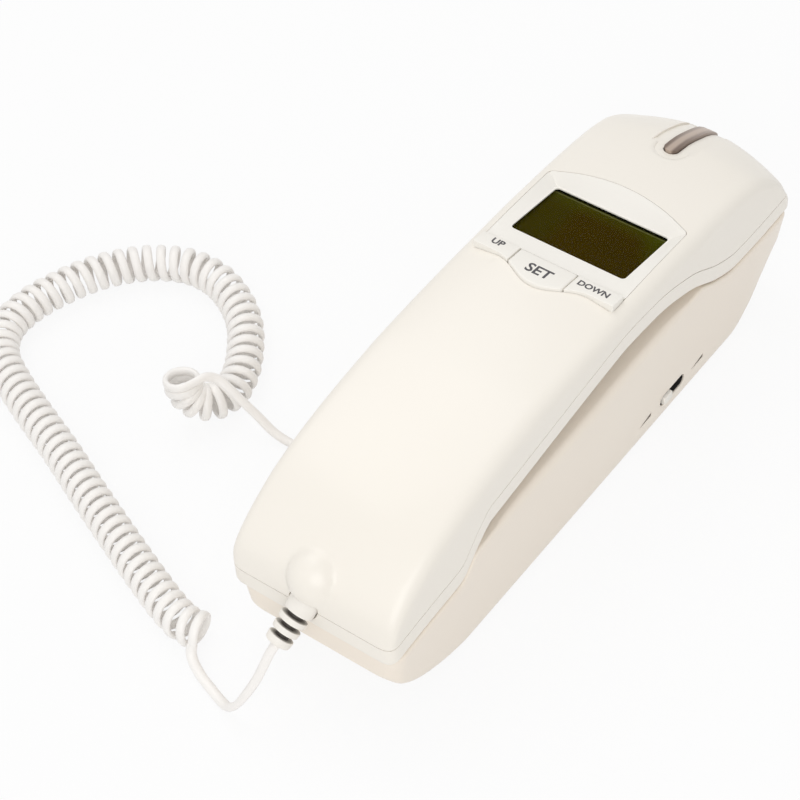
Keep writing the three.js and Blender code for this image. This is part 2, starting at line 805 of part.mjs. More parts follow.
function handsetBoard() {
  return block(handsetBoardWidth, handsetBoardLength, boardThickness, 0, 0, boardLow);
}

function boardPosts() {
  const x = matWidth / 2 + fitGap + postRadius;
  const y = handsetBoardLength / 2 - postRadius - 1;
  const posts = [];
  for (const [sideX, sideY] of [[-1, -1], [1, -1], [1, 1], [-1, 1]]) {
    posts.push(inPhone(keypadGroup, roundBar(postRadius, 1, boardLow - fitGap, sideX * x, sideY * y, 6)));
  }
  return posts;
}

function handsetFaceShell() {
  const outer = handsetForm(0, outerSteps);
  const below = halfSpace((d) => partingHeight(d) - fitGap / 2, 0, phoneLength, underAll);
  let shell = outer.subtract(handsetForm(handsetWall, innerSteps)).intersect(below);
  shell = join(shell, soundCap(earY, earCapRadius, earCapBottom),
    soundCap(mouthY, mouthCapRadius, mouthCapBottom));
  shell = cut(shell, soundCapHollow(earY, earCapRadius, earCapBottom),
    soundCapHollow(mouthY, mouthCapRadius, mouthCapBottom));
  shell = cut(shell, ...soundHoles(earY, earCapBottom, soundHoleCount),
    ...soundHoles(mouthY, mouthCapBottom, 0));
  for (const { y, low } of screwPlaces()) {
    const pad = roundBar(bossRadius + 1.4, low - 3, low + screwPadHeight, 0, y, 16);
    shell = join(shell, pad.intersect(outer));
    shell = cut(shell, roundBar(screwHeadRadius + fitGap, underAll, low + counterboreDepth, 0, y, 16),
      roundBar(screwShankRadius + fitGap, underAll, overTop, 0, y, 12));
  }
  const seat = block(matWidth, matLength, 4, 0, 0, handsetWall);
  shell = join(cut(shell, inPhone(keypadGroup, seat)), ...boardPosts());
  return cut(shell, ...keyPlaces().map(keyHole), bootBore());
}

function screw(lowZ, x, y) {
  const top = screwHeadHeight + screwShankLength;
  const points = [
    [0, 0], [screwHeadRadius * 0.8, 0], [screwHeadRadius, screwHeadHeight * 0.4],
    [screwHeadRadius, screwHeadHeight], [screwShankRadius, screwHeadHeight],
    [screwShankRadius, top - 1], [0, top],
  ];
  const solid = turned(points, 10);
  return solid.translate([x, y, lowZ]);
}

// ---- base ----
const plateLow = footProud;
const plateTop = plateLow + plateThickness;
const deckHeight = plateTop + fitGap;              // what stands on the plate starts here
const baseFloor = plateThickness + fitGap + plateLedge;
const plateStart = fromMouth(plateFromMouth);
const plateEnd = fromEar(plateFromEar);
const plateLength = plateEnd - plateStart;
const plateY = (plateStart + plateEnd) / 2;
const bossPlaces = [fromMouth(mouthBossInset), fromEar(earBossInset)];
const jackTop = deckHeight + jackHeight;
const baseBoardLow = jackTop + fitGap;
const baseBoardTop = baseBoardLow + boardThickness;
const hookDistance = phoneLength - hookFromEar;
const hookY = fromMouth(hookDistance);
const ringerY = fromEar(ringerFromEar);
const plugY = fromMouth(handsetJackFromMouth);
const lineJackY = fromEar(lineJackFromEar);
const sideFaceX = halfWidth - baseTaper;
const ringerBodyFace = sideFaceX - baseWall - ringerSetBack;

function cupWall(y, radius, bottom) {
  return roundBar(radius + cupClearance + baseWall, bottom - cupClearance - baseWall, overTop, 0, y, 20);
}

function cupPocket(y, radius, bottom) {
  return roundBar(radius + cupClearance, bottom - cupClearance, overTop, 0, y, 24);
}

// The trough under the grip, where fingers reach round the handset.
function gripDish(grow) {
  const length = dishLength + 2 * grow;
  const y = fromMouth(dishFromMouth + dishLength / 2);
  const rings = stations(0, 1, 12).map((share) => {
    const along = 2 * share - 1;
    const fade = Math.sqrt(Math.max(0.02, 1 - along ** 4));
    const half = (dishHalfWidth + grow) * (0.8 + 0.2 * fade);
    const top = baseRim(y + along * length / 2 + halfLength) + 6;
    const bottom = top - 6 - dishDepth * fade - grow;
    const ring = [[half + 3, y + along * length / 2, top], [-half - 3, y + along * length / 2, top]];
    for (let i = 0; i <= 8; i++) {
      const angle = Math.PI * (1 + i / 8);
      const x = half * Math.cos(angle);
      ring.push([x, y + along * length / 2, top - 6 + (top - 6 - bottom) * Math.sin(angle)]);
    }
    return ring;
  });
  return lofted(rings);
}

function jackCut(y) {
  const outside = 6;
  const length = outside + jackSetBack + jackDepth + fitGap;
  const x = -halfWidth - outside + length / 2;
  const [width, height] = [jackWidth + 2 * fitGap, jackHeight + 2 * fitGap];
  return block(length, width, height, x, y, deckHeight - fitGap);
}

function ringerSlot() {
  const low = ringerHeight - ringerSlotHeight / 2;
  return block(12, ringerSlotLength, ringerSlotHeight, halfWidth, ringerY, low);
}

function baseCradle() {
  const outer = baseForm(0, 0, { ...outerSteps, crownSteps: 2 });
  const inner = baseForm(baseWall, baseFloor, { ...innerSteps, count: 14, crownSteps: 2 });
  let shell = outer.subtract(cut(inner, gripDish(baseWall)));
  const earWall = cupWall(earY, earCapRadius, earCapBottom);
  const mouthWall = cupWall(mouthY, mouthCapRadius, mouthCapBottom);
  shell = join(shell, earWall.intersect(outer), mouthWall.intersect(outer));
  for (const y of bossPlaces) {
    shell = join(shell, roundBar(bossRadius, deckHeight, overTop, 0, y, 16).intersect(outer));
    const pilotTop = deckHeight + screwShankLength;
    shell = cut(shell, roundBar(screwShankRadius + threadGap, underAll, pilotTop, 0, y, 12));
  }
  const holeOutline = roundedOutline(
    plateWidth + 2 * fitGap, plateLength + 2 * fitGap, plateCorner, 0, plateY);
  const plateHole = extruded(holeOutline, underAll, deckHeight);
  const hatchOutline = roundedOutline(
    plateWidth - 2 * ledgeWidth, plateLength - 2 * ledgeWidth, plateCorner - ledgeWidth, 0, plateY);
  const hatch = extruded(hatchOutline, underAll, baseFloor + footProud + 1);
  const bosses = bossPlaces.map((y) => roundBar(bossRadius, deckHeight, 9, 0, y, 16));
  const hookHole = roundBar(hookPlungerRadius + runGap, baseBoardTop, overTop, 0, hookY, 16);
  return cut(shell, plateHole, cut(hatch, ...bosses), gripDish(0),
    cupPocket(earY, earCapRadius, earCapBottom), cupPocket(mouthY, mouthCapRadius, mouthCapBottom),
    hookHole, jackCut(plugY), jackCut(lineJackY), ringerSlot());
}

const footY = halfLength - footFromEnd;
const footPlaces = [[-footX, -footY], [footX, -footY], [-footX, footY], [footX, footY]];

function keyhole(y) {
  const round = roundBar(keyholeRadius, underAll, overTop, 0, y, 16);
  const slotY = y + keyholeSlotLength / 2;
  const slot = block(keyholeSlotWidth, keyholeSlotLength, overTop - underAll, 0, slotY, underAll);
  const slotEnd = roundBar(keyholeSlotWidth / 2, underAll, overTop, 0, y + keyholeSlotLength, 10);
  return join(round, slot, slotEnd);
}

function basePlate() {
  const outline = roundedOutline(plateWidth, plateLength, plateCorner - fitGap, 0, plateY);
  let plate = extruded(outline, plateLow, plateTop);
  for (const [x, y] of footPlaces) {
    plate = cut(plate, roundBar(footRadius + fitGap, underAll, footHeight + fitGap, x, y, 16));
  }
  for (const y of bossPlaces) {
    const headTop = plateLow + screwHeadHeight + fitGap;
    plate = cut(plate, roundBar(screwHeadRadius + fitGap, underAll, headTop, 0, y, 16),
      roundBar(screwShankRadius + fitGap, underAll, overTop, 0, y, 12));
  }
  return cut(plate, keyhole(-keyholeSpacing / 2), keyhole(keyholeSpacing / 2));
}

function baseBoard() {
  const start = fromMouth(baseBoardFromMouth);
  const end = fromEar(baseBoardFromEar);
  return block(baseBoardWidth, end - start, boardThickness, 0, (start + end) / 2, baseBoardLow);
}

function ballastBar() {
  const start = plugY + jackWidth / 2 + ballastGap;
  const end = lineJackY - jackWidth / 2 - ballastGap;
  return block(ballastWidth, end - start, ballastHeight, 0, (start + end) / 2, deckHeight);
}

function jackSolid(y, socketWidth) {
  const faceX = -halfWidth + jackSetBack;
  const body = block(jackDepth, jackWidth, jackHeight, faceX + jackDepth / 2, y, deckHeight);
  const socketLow = deckHeight + (jackHeight - socketHeight) / 2;
  return cut(body, block(2 * socketDepth, socketWidth, socketHeight, faceX, y, socketLow));
}

const socketMiddle = deckHeight + jackHeight / 2;
const plugFaceX = -halfWidth + jackSetBack;

function cordPlug() {
  const width = handsetSocketWidth - 2 * fitGap;
  const height = socketHeight - 2 * fitGap;
  const inside = socketDepth - 1;
  const tailX = plugFaceX + inside - plugLength;
  const nose = block(plugLength, width, height, tailX + plugLength / 2, plugY, socketMiddle - height / 2);
  const tail = new THREE.CylinderGeometry(2.2, 1.7, plugTailLength, 8).rotateZ(-Math.PI / 2);
  return join(nose, solidFrom(tail.translate(tailX - plugTailLength / 2 + 0.5, plugY, socketMiddle)));
}

const plugTailEnd = plugFaceX + socketDepth - 1 - plugLength - plugTailLength + 0.5;

function ringerKnob() {
  const outside = halfWidth - ringerKnobInset;
  const startX = ringerBodyFace + fitGap;
  const y = ringerY - ringerTravel / 2;
  return block(outside - startX, ringerKnobLength, ringerKnobHeight, (outside + startX) / 2, y,
    ringerHeight - ringerKnobHeight / 2);
}

function ringerBody() {
  const low = baseBoardLow - fitGap - ringerBodyHeight;
  const x = ringerBodyFace - ringerBodyDepth / 2;
  return block(ringerBodyDepth, ringerBodyLength, ringerBodyHeight, x, ringerY, low);
}

const hookSwitchTop = baseBoardTop + fitGap + hookSwitchHeight;

function hookPlunger() {
  const start = hookSwitchTop + fitGap;
  const top = handsetLow(hookDistance + hookPlungerRadius) - hookTopGap - start;
  const ceiling = baseRim(hookDistance + hookFlangeRadius) - baseWall;
  const flangeTop = ceiling - hookTravel - hookStopGap - start;
  const flangeLow = flangeTop - hookFlangeThickness;
  const points = [
    [0, 0], [2, 0], [2, flangeLow], [hookFlangeRadius, flangeLow], [hookFlangeRadius, flangeTop],
    [hookPlungerRadius, flangeTop], [hookPlungerRadius, top - 1.2], [hookPlungerRadius * 0.6, top], [0, top],
  ];
  return turned(points, 12).translate([0, hookY, start]);
}

// ---- handset cord: routes lie on the table, points chosen by eye ----
const tableLead = leadDiameter / 2 + 0.15;
const coilHeight = coilRadius + cordThickness / 2 + 0.3;
const coilRoute = [
  [-94.8, -47.6, 18.6], [-93.9, -47.8, 13.4], [-91.2, -46.2, 9], [-87.9, -42, coilHeight + 0.6],
  [-86.7, -35.6, coilHeight], [-89, -27.8, coilHeight], [-94.2, -19.2, coilHeight], [-101.2, -11, coilHeight],
  [-110.2, -4.8, coilHeight], [-121, -0.9, coilHeight], [-132, -1.3, coilHeight], [-142.2, -6.2, coilHeight],
  [-150, -13.2, coilHeight], [-156, -21.6, coilHeight], [-160.6, -32, coilHeight],
  [-163.6, -43.4, coilHeight], [-163, -54.6, coilHeight], [-157, -63.8, coilHeight],
  [-147, -69.8, coilHeight], [-133, -76, coilHeight],
  [-115, -83.2, coilHeight], [-96, -91.5, coilHeight], [-77, -99.5, coilHeight], [-59, -106.8, coilHeight],
  [-48, -110.8, coilHeight], [-41.5, -112.3, coilHeight], [-35.5, -111.8, coilHeight],
];
const baseLeadMiddle = [
  [-45, plugY - 0.5, 7.5], [-52.5, plugY - 1.6, 3.6], [-60, plugY - 2.8, tableLead + 0.2],
  [-66.6, plugY - 3.4, 3.2], [-72.4, plugY - 3.5, 7], [-77.2, plugY - 4, 11], [-81.6, plugY - 4.6, 15],
  [-85.8, plugY - 5.8, 18.4],
];
const handsetLeadMiddle = [
  [-29.4, -112.6, coilHeight - 1.6], [-25, -115.8, 3.6], [-20.6, -119.6, 2], [-15.6, -124.2, 2.2],
  [-9.6, -127.4, 5.4], [-4.2, -126.8, 11.6], [-1.2, -123.6, 18],
];

const vector = ([x, y, z]) => new THREE.Vector3(x, y, z);
const numbers = (point) => [point.x, point.y, point.z];

// Frames that are carried along a curve, one side kept level.
function levelFrames(points) {
  let lastSide = new THREE.Vector3(0, 1, 0);
  return points.map((point, i) => {
    const before = points[Math.max(0, i - 1)];
    const after = points[Math.min(points.length - 1, i + 1)];
    const along = after.clone().sub(before).normalize();
    const side = lastSide.clone().addScaledVector(along, -lastSide.dot(along)).normalize();
    lastSide = side;
    return { along, side, lift: along.clone().cross(side) };
  });
}

// The middle of the cord through all its curls: a helix about the route. It leaves the first curl
// straight on, and is drawn in to the route's own line at the last.
function coilPath() {
  const route = new THREE.CatmullRomCurve3(coilRoute.map(vector), false, 'centripetal');
  const steps = coilCurls * stepsPerCurl;
  const axis = [];
  for (let i = 0; i <= steps; i++) {
    const share = i / steps;
    axis.push(route.getPointAt(share + coilLead * share * (1 - share) ** 8));
  }
  const frames = levelFrames(axis);
  const centres = axis.map((point, i) => {
    const share = Math.min(1, (steps - i) / stepsPerCurl);
    const radius = coilRadius * share * share * (3 - 2 * share);
    const angle = coilPhase + 2 * Math.PI * i / stepsPerCurl;
    return point.clone().addScaledVector(frames[i].side, radius * Math.cos(angle))
      .addScaledVector(frames[i].lift, radius * Math.sin(angle));
  });
  const outward = centres.map((centre, i) => centre.clone().sub(axis[i]));
  const startWay = centres[0].clone().sub(centres[1]).normalize();
  const endWay = frames[steps].along;
  centres.unshift(centres[0].clone().addScaledVector(startWay, coilTail));
  centres.push(centres[steps + 1].clone().addScaledVector(endWay, coilTail));
  outward.unshift(outward[0]);
  outward[steps + 1] = outward[steps - 1];
  outward.push(outward[steps - 1]);
  return { centres, outward, startWay, endWay };
}

const coil = coilPath();
const coilStart = coil.centres[0].clone().addScaledVector(coil.startWay, fitGap);
const coilEnd = coil.centres[coil.centres.length - 1].clone().addScaledVector(coil.endWay, fitGap);
const bootWay = new THREE.Vector3(0, -Math.cos(degrees(bootAngle)), -Math.sin(degrees(bootAngle)));
const bootTip = new THREE.Vector3(0, fromMouth(domeRadius), domeHeight)
  .addScaledVector(bootWay, domeRadius + bootLength + fitGap);

const baseLeadRoute = [
  [plugTailEnd - fitGap, plugY, socketMiddle], [plugTailEnd - fitGap - leadDiameter, plugY, socketMiddle],
  ...baseLeadMiddle,
  numbers(coilStart.clone().addScaledVector(coil.startWay, leadDiameter)), numbers(coilStart),
];
const handsetLeadRoute = [
  numbers(coilEnd), numbers(coilEnd.clone().addScaledVector(coil.endWay, leadDiameter)),
  ...handsetLeadMiddle,
  numbers(bootTip.clone().addScaledVector(bootWay, leadDiameter)), numbers(bootTip),
];

// Cord with a flattened section whose broad side faces the coil's middle.
function curlyCord() {
  const { centres, outward } = coil;
  const sides = 5;
  const rings = centres.map((centre, i) => {
    const before = centres[Math.max(0, i - 1)];
    const after = centres[Math.min(centres.length - 1, i + 1)];
    const along = after.clone().sub(before).normalize();
    const across = along.clone().cross(outward[i]).normalize();
    const out = across.clone().cross(along);
    const ring = [];
    for (let k = 0; k < sides; k++) {
      const angle = 2 * Math.PI * k / sides;
      ring.push(numbers(centre.clone().addScaledVector(out, cordThickness / 2 * Math.cos(angle))
        .addScaledVector(across, cordWidth / 2 * Math.sin(angle))));
    }
    return ring;
  });
  reportGap(rings);
  return lofted(rings);
}

function reportGap(rings) {
  let least = Infinity;
  const clearSteps = stepsPerCurl - 2;
  for (let i = 0; i < rings.length; i++) {
    for (let j = i + clearSteps; j < Math.min(rings.length, i + 40 * stepsPerCurl); j++) {
      for (const [ax, ay, az] of rings[i]) {
        for (const [bx, by, bz] of rings[j]) {
          least = Math.min(least, (ax - bx) ** 2 + (ay - by) ** 2 + (az - bz) ** 2);
        }
      }
    }
  }
  console.log(`curly cord: least gap to itself ${Math.sqrt(least).toFixed(2)} mm`);
}

function leadTube(route) {
  const curve = new THREE.CatmullRomCurve3(route.map(vector), false, 'centripetal');
  const section = new THREE.Shape();
  const sides = 8;
  for (let k = 0; k < sides; k++) {
    const angle = 2 * Math.PI * (k + 0.5) / sides;
    const [x, y] = [leadDiameter / 2 * Math.cos(angle), leadDiameter / 2 * Math.sin(angle)];
    if (k === 0) section.moveTo(x, y);
    else section.lineTo(x, y);
  }
  const steps = Math.round(curve.getLength() / (2.2 * leadDiameter));
  return solidFrom(new THREE.ExtrudeGeometry(section, { steps, extrudePath: curve, bevelEnabled: false }));
}

// ---- the pieces ----
addPiece(phone, 'base_cradle', baseCradle(), shellColor, 0.35);
addPiece(phone, 'base_plate', basePlate(), shellColor, 0.5);
footPlaces.forEach(([x, y], i) => {
  addPiece(phone, `foot_${i + 1}`, roundBar(footRadius, 0, footHeight, x, y, 16), 0xb9b6ae, 0.9);
});
bossPlaces.forEach((y, i) => {
  addPiece(phone, `base_screw_${i + 1}`, screw(plateLow, 0, y), steelColor, 0.4, 1);
});
addPiece(phone, 'base_board', baseBoard(), boardColor, 0.6);
addPiece(phone, 'handset_jack', jackSolid(plugY, handsetSocketWidth), innerColor, 0.5);
addPiece(phone, 'line_jack', jackSolid(lineJackY, lineSocketWidth), innerColor, 0.5);
addPiece(phone, 'ballast_bar', ballastBar(), steelColor, 0.4, 1);
const onBoard = baseBoardTop + fitGap;
addPiece(phone, 'sounder', roundBar(sounderRadius, onBoard, onBoard + sounderHeight, 0, 0), legendColor, 0.5);
const hookBody = block(hookSwitchWidth, hookSwitchLength, hookSwitchHeight, 0, hookY, onBoard);
addPiece(phone, 'hook_switch', hookBody, legendColor, 0.5);
addPiece(phone, 'hook_plunger', hookPlunger(), shellColor, 0.4);
addPiece(phone, 'ringer_switch', ringerBody(), legendColor, 0.5);
addPiece(phone, 'ringer_slider', ringerKnob(), shellColor, 0.4);
addPiece(phone, 'cord_plug', cordPlug(), 0xe6e2d6, 0.2);
addPiece(phone, 'base_lead', leadTube(baseLeadRoute), shellColor, 0.45);
addPiece(phone, 'curly_cord', curlyCord(), shellColor, 0.45);
addPiece(phone, 'handset_lead', leadTube(handsetLeadRoute), shellColor, 0.45);

addPiece(phone, 'handset_back_shell', handsetBackShell(), shellColor, 0.3);
addPiece(phone, 'handset_face_shell', handsetFaceShell(), shellColor, 0.35);
addPiece(phone, 'cord_boot', cordBoot(), shellColor, 0.6);
addPiece(phone, 'ring_lamp_lens', lampLens(), 0x8a6a5c, 0.15);
addPiece(phone, 'ring_lamp_led', lampLed(), 0xc9352b, 0.2);
screwPlaces().forEach(({ y, low }, i) => {
  const headLow = low + counterboreDepth - fitGap - screwHeadHeight;
  addPiece(phone, `handset_screw_${i + 1}`, screw(headLow, 0, y), steelColor, 0.4, 1);
});
const receiverLow = earCapBottom + capWall + fitGap;
const receiverRadius = earCapRadius - capWall - fitGap;
const receiver = roundBar(receiverRadius, receiverLow, receiverLow + receiverHeight, 0, earY, 20);
addPiece(phone, 'receiver_capsule', receiver, legendColor, 0.5);
const microphoneLow = mouthCapBottom + capWall + fitGap;
const microphone = roundBar(
  microphoneRadius, microphoneLow, microphoneLow + microphoneHeight, 0, mouthY, 16);
addPiece(phone, 'microphone_capsule', microphone, steelColor, 0.3, 1);

addPiece(displayGroup, 'display_bezel', displayBezel(), shellColor, 0.25);
addPiece(displayGroup, 'display_window', displayWindow(), 0x9aa86a, 0.05);
addPiece(displayGroup, 'lcd_module', lcdModule(), 0x3d4416, 0.3);
addPiece(displayGroup, 'display_board', displayBoard(), boardColor, 0.6);
const sideKeyInner = setKeyWidth / 2 + keyGap;
addPiece(displayGroup, 'up_key', displayKeySolid(-bezelWidth / 2, -sideKeyInner), shellColor, 0.3);
addPiece(displayGroup, 'set_key', setKeySolid(), shellColor, 0.3);
addPiece(displayGroup, 'down_key', displayKeySolid(sideKeyInner, bezelWidth / 2), shellColor, 0.3);

for (const place of keyPlaces()) {
  addPiece(keypadGroup, place.name, keypadKey(place), shellColor, 0.4);
}
addPiece(keypadGroup, 'keypad_mat', keypadMat(), 0xcfcabd, 0.8);
addPiece(keypadGroup, 'handset_board', handsetBoard(), boardColor, 0.6);

export default phone;
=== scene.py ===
import json
import math

import bmesh
import bpy
from mathutils import Matrix, Vector
from mathutils.bvhtree import BVHTree

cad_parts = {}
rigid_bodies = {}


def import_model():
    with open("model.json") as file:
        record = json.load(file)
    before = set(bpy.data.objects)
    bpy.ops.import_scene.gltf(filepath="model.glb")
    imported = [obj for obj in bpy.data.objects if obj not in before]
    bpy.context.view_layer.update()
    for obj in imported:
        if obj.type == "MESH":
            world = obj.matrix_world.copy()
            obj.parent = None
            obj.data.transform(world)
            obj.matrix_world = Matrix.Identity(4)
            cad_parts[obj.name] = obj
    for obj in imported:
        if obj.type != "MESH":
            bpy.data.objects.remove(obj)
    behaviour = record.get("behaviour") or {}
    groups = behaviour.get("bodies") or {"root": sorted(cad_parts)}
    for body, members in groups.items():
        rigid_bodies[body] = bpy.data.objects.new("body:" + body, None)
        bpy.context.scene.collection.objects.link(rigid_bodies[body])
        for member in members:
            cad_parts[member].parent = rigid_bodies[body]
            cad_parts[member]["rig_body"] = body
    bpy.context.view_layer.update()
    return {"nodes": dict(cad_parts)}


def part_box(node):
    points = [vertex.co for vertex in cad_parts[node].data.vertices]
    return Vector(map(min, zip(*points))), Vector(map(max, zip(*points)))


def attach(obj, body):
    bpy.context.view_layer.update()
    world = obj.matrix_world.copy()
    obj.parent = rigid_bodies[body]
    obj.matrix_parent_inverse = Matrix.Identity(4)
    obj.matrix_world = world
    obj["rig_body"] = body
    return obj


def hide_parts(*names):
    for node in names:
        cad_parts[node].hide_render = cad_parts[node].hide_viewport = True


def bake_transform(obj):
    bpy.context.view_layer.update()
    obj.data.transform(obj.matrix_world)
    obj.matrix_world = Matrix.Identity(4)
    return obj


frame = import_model()

# Slimline corded wall phone on its back. The dictionaries hold millimetres, Blender gets metres.
mm = 0.001
phone = {
    "length": 208.5,
    "width": 56.0,
    "height": 67.0,
    "fitGap": 0.3,
    "earBow": 2.5,
    "bowReach": 30,
    "gripStart": 0.24,       # share of the length
    "gripLength": 0.288,
    "gripHeight": 44.0,
    "gripSlope": 0.13,
    "partingRise": 7.0,
}
length = phone["length"]
halfLength = length / 2
halfWidth = phone["width"] / 2


def fromMouth(distance):
    return distance - halfLength


def fromEar(distance):
    return halfLength - distance


# The camera stands at the right of the mouth end and looks down on the phone.
cameraView = {
    "azimuth": 40.12158,
    "elevation": 48.29966,
    "roll": -4.83741,
    "place": (298.758, -413.092, 598.190),
    "lens": 117.0,
}


def makeCamera():
    turn, tip, roll = (math.radians(cameraView[key]) for key in ("azimuth", "elevation", "roll"))
    forward = Vector((-math.sin(turn) * math.cos(tip), math.cos(turn) * math.cos(tip), -math.sin(tip)))
    right = Vector((math.cos(turn), math.sin(turn), 0))
    up = right.cross(forward)
    across = math.cos(roll) * right + math.sin(roll) * up
    upward = math.cos(roll) * up - math.sin(roll) * right
    bpy.ops.object.camera_add()
    camera = bpy.context.object
    camera.name = "camera"
    camera.data.sensor_width = 36
    camera.data.lens = cameraView["lens"]
    camera.data.clip_start = 0.05
    stand = Matrix.Translation([value * mm for value in cameraView["place"]])
    camera.matrix_world = stand @ Matrix((across, upward, -forward)).transposed().to_4x4()
    bpy.context.scene.camera = camera


makeCamera()
print("camera set")


# One socket of a shader tree. Sums and products written in Python become its Math nodes.
class Wire:
    def __init__(self, tree, socket):
        self.tree = tree
        self.socket = socket

    def maths(self, operation, first, second):
        return self.tree.node("ShaderNodeMath", {"operation": operation}, {0: first, 1: second})

    def __add__(self, other):
        return self.maths("ADD", self, other)

    def __sub__(self, other):
        return self.maths("SUBTRACT", self, other)

    def __rsub__(self, other):
        return self.maths("SUBTRACT", other, self)

    def __mul__(self, other):
        return self.maths("MULTIPLY", self, other)

    def __truediv__(self, other):
        return self.maths("DIVIDE", self, other)

    __radd__ = __add__
    __rmul__ = __mul__


# A material or world being wired up.
class Tree:
    def __init__(self, tree):
        self.tree = tree
        tree.nodes.clear()

    def node(self, kind, settings=None, inputs=None, output=0):
        made = self.tree.nodes.new(kind)
        for key, value in (settings or {}).items():
            setattr(made, key, value)
        for key, value in (inputs or {}).items():
            if isinstance(value, Wire):
                self.tree.links.new(value.socket, made.inputs[key])
            else:
                made.inputs[key].default_value = value
        return Wire(self, made.outputs[output]) if made.outputs else made

    # The point on the object, in metres.
    def where(self):
        return self.node("ShaderNodeTexCoord", output=3)

    def noise(self, where, scale, detail=3.0):
        return self.node("ShaderNodeTexNoise", None,
                         {"Vector": where, "Scale": scale, "Detail": detail, "Roughness": 0.5})

    def span(self, value, low, high, newLow=0.0, newHigh=1.0, easing="LINEAR"):
        return self.node("ShaderNodeMapRange", {"interpolation_type": easing},
                         {0: value, 1: low, 2: high, 3: newLow, 4: newHigh})

    def smooth(self, value, low, high):
        return self.span(value, low, high, easing="SMOOTHSTEP")

    def mix(self, share, first, second):
        pair = [value if isinstance(value, Wire) else (*value, 1) for value in (first, second)]
        return self.node("ShaderNodeMix", {"data_type": "RGBA"}, {0: share, 6: pair[0], 7: pair[1]}, 2)

    def band(self, value, low, high, soft):
        return self.smooth(value, low - soft, low + soft) - self.smooth(value, high - soft, high + soft)

    def bump(self, height, strength):
        return self.node("ShaderNodeBump", None, {"Strength": strength, "Distance": 0.0002, "Height": height})

    # 1 for what the camera sees at once, mirrored or through glass.
    def seen(self):
        direct, mirrored, through = (self.node("ShaderNodeLightPath", output=output) for output in (0, 3, 6))
        return direct.maths("MAXIMUM", direct.maths("MAXIMUM", direct, mirrored), through)

    # One number of a vector: 0, 1 or 2 for x, y or z.
    def axis(self, vector, number):
        return self.node("ShaderNodeSeparateXYZ", None, {0: vector}, number)

    def surface(self, **sockets):
        return self.node("ShaderNodeBsdfPrincipled", None, {
            key.replace("_", " "): value for key, value in sockets.items()})

    def finish(self, surface):
        self.node("ShaderNodeOutputMaterial", None, {"Surface": surface})


def newMaterial(name, build):
    made = bpy.data.materials.new(name)
    made.use_nodes = True
    tree = Tree(made.node_tree)
    tree.finish(build(tree))
    return made


# Moulded plastic: faint clouding, a slightly uneven gloss and a fine skin that shows near highlights.
def mouldedPlastic(name, colour, clouded, roughness, skin=0.02, skinScale=1100.0, coat=0.0):
    def build(tree):
        where = tree.where()
        cloud = tree.smooth(tree.noise(where, 14.0, 2.0), 0.3, 0.7)
        smear = tree.noise(where, 45.0, 2.0)
        grain = tree.noise(where, skinScale, 2.0)
        return tree.surface(
            Base_Color=tree.mix(cloud, colour, clouded),
            Roughness=(smear - 0.5) * 0.08 + roughness,
            Coat_Weight=(smear * 0.3 + 0.85) * coat if coat else 0.0,
            Coat_Roughness=0.1,
            Normal=tree.bump(grain, skin))
    return newMaterial(name, build)


def turnedMetal(name, colour, roughness):
    def build(tree):
        stretch = tree.node("ShaderNodeMapping", None, {"Vector": tree.where(), "Scale": (60, 900, 60)})
        lines = tree.noise(stretch, 3.0, 4.0)
        return tree.surface(
            Base_Color=tree.mix(lines, colour, [value * 0.8 for value in colour]),
            Metallic=1.0,
            Roughness=(lines - 0.5) * 0.2 + roughness,
            Normal=tree.bump(lines, 0.08))
    return newMaterial(name, build)


def circuitBoard(name):
    def build(tree):
        edges = tree.node("ShaderNodeTexVoronoi", {"feature": "DISTANCE_TO_EDGE"},
                          {"Vector": tree.where(), "Scale": 260.0})
        track = tree.span(edges, 0.04, 0.07, 1.0, 0.0)
        return tree.surface(
            Base_Color=tree.mix(track, (0.02, 0.13, 0.05), (0.05, 0.25, 0.1)),
            Roughness=0.4 - track * 0.1)
    return newMaterial(name, build)


# The display behind its window: dark olive, greener towards the left, upper and right edges, with a painted
# reflection of the glass's edge as a bright line inside the upper one.
def displayGlass(name):
    def build(tree):
        where = tree.where()
        x, y = tree.axis(where, 0), tree.axis(where, 1)
        cloud = tree.noise(where, 40.0, 2.0)
        body = tree.mix(cloud, (0.064, 0.036, 0.0006), (0.069, 0.040, 0.001))
        body = tree.mix(tree.smooth(x, -0.006, -0.0125), body, (0.062, 0.048, 0.0008))
        body = tree.mix(tree.smooth(y, 0.038, 0.045) * 0.7, body, (0.092, 0.095, 0.003))
        body = tree.mix(tree.smooth(x + y * 0.6, 0.034, 0.044) * 0.6, body, (0.080, 0.105, 0.0015))
        # Painted reflection of the glass's edge: a bright line just inside the window's upper edge.
        line = tree.band(y, 0.0438, 0.0443, 0.00015)
        body = tree.mix(line * 0.8, body, (0.27, 0.27, 0.09))
        border = tree.smooth(y, 0.0444, 0.0447)
        return tree.surface(
            Base_Color=tree.mix(border, body, (0.008, 0.008, 0.004)),
            Roughness=cloud * 0.1 + 0.35,
            Specular_IOR_Level=0.0)
    return newMaterial(name, build)


def clearPlastic(name, colour, cover, roughness, gloss):
    def build(tree):
        smear = tree.noise(tree.where(), 60.0, 3.0)
        return tree.surface(
            Base_Color=tree.mix(smear, colour, [value * 0.92 for value in colour]),
            Roughness=smear * 0.06 + roughness,
            Specular_IOR_Level=gloss,
            Alpha=smear * 0.06 + cover)
    return newMaterial(name, build)


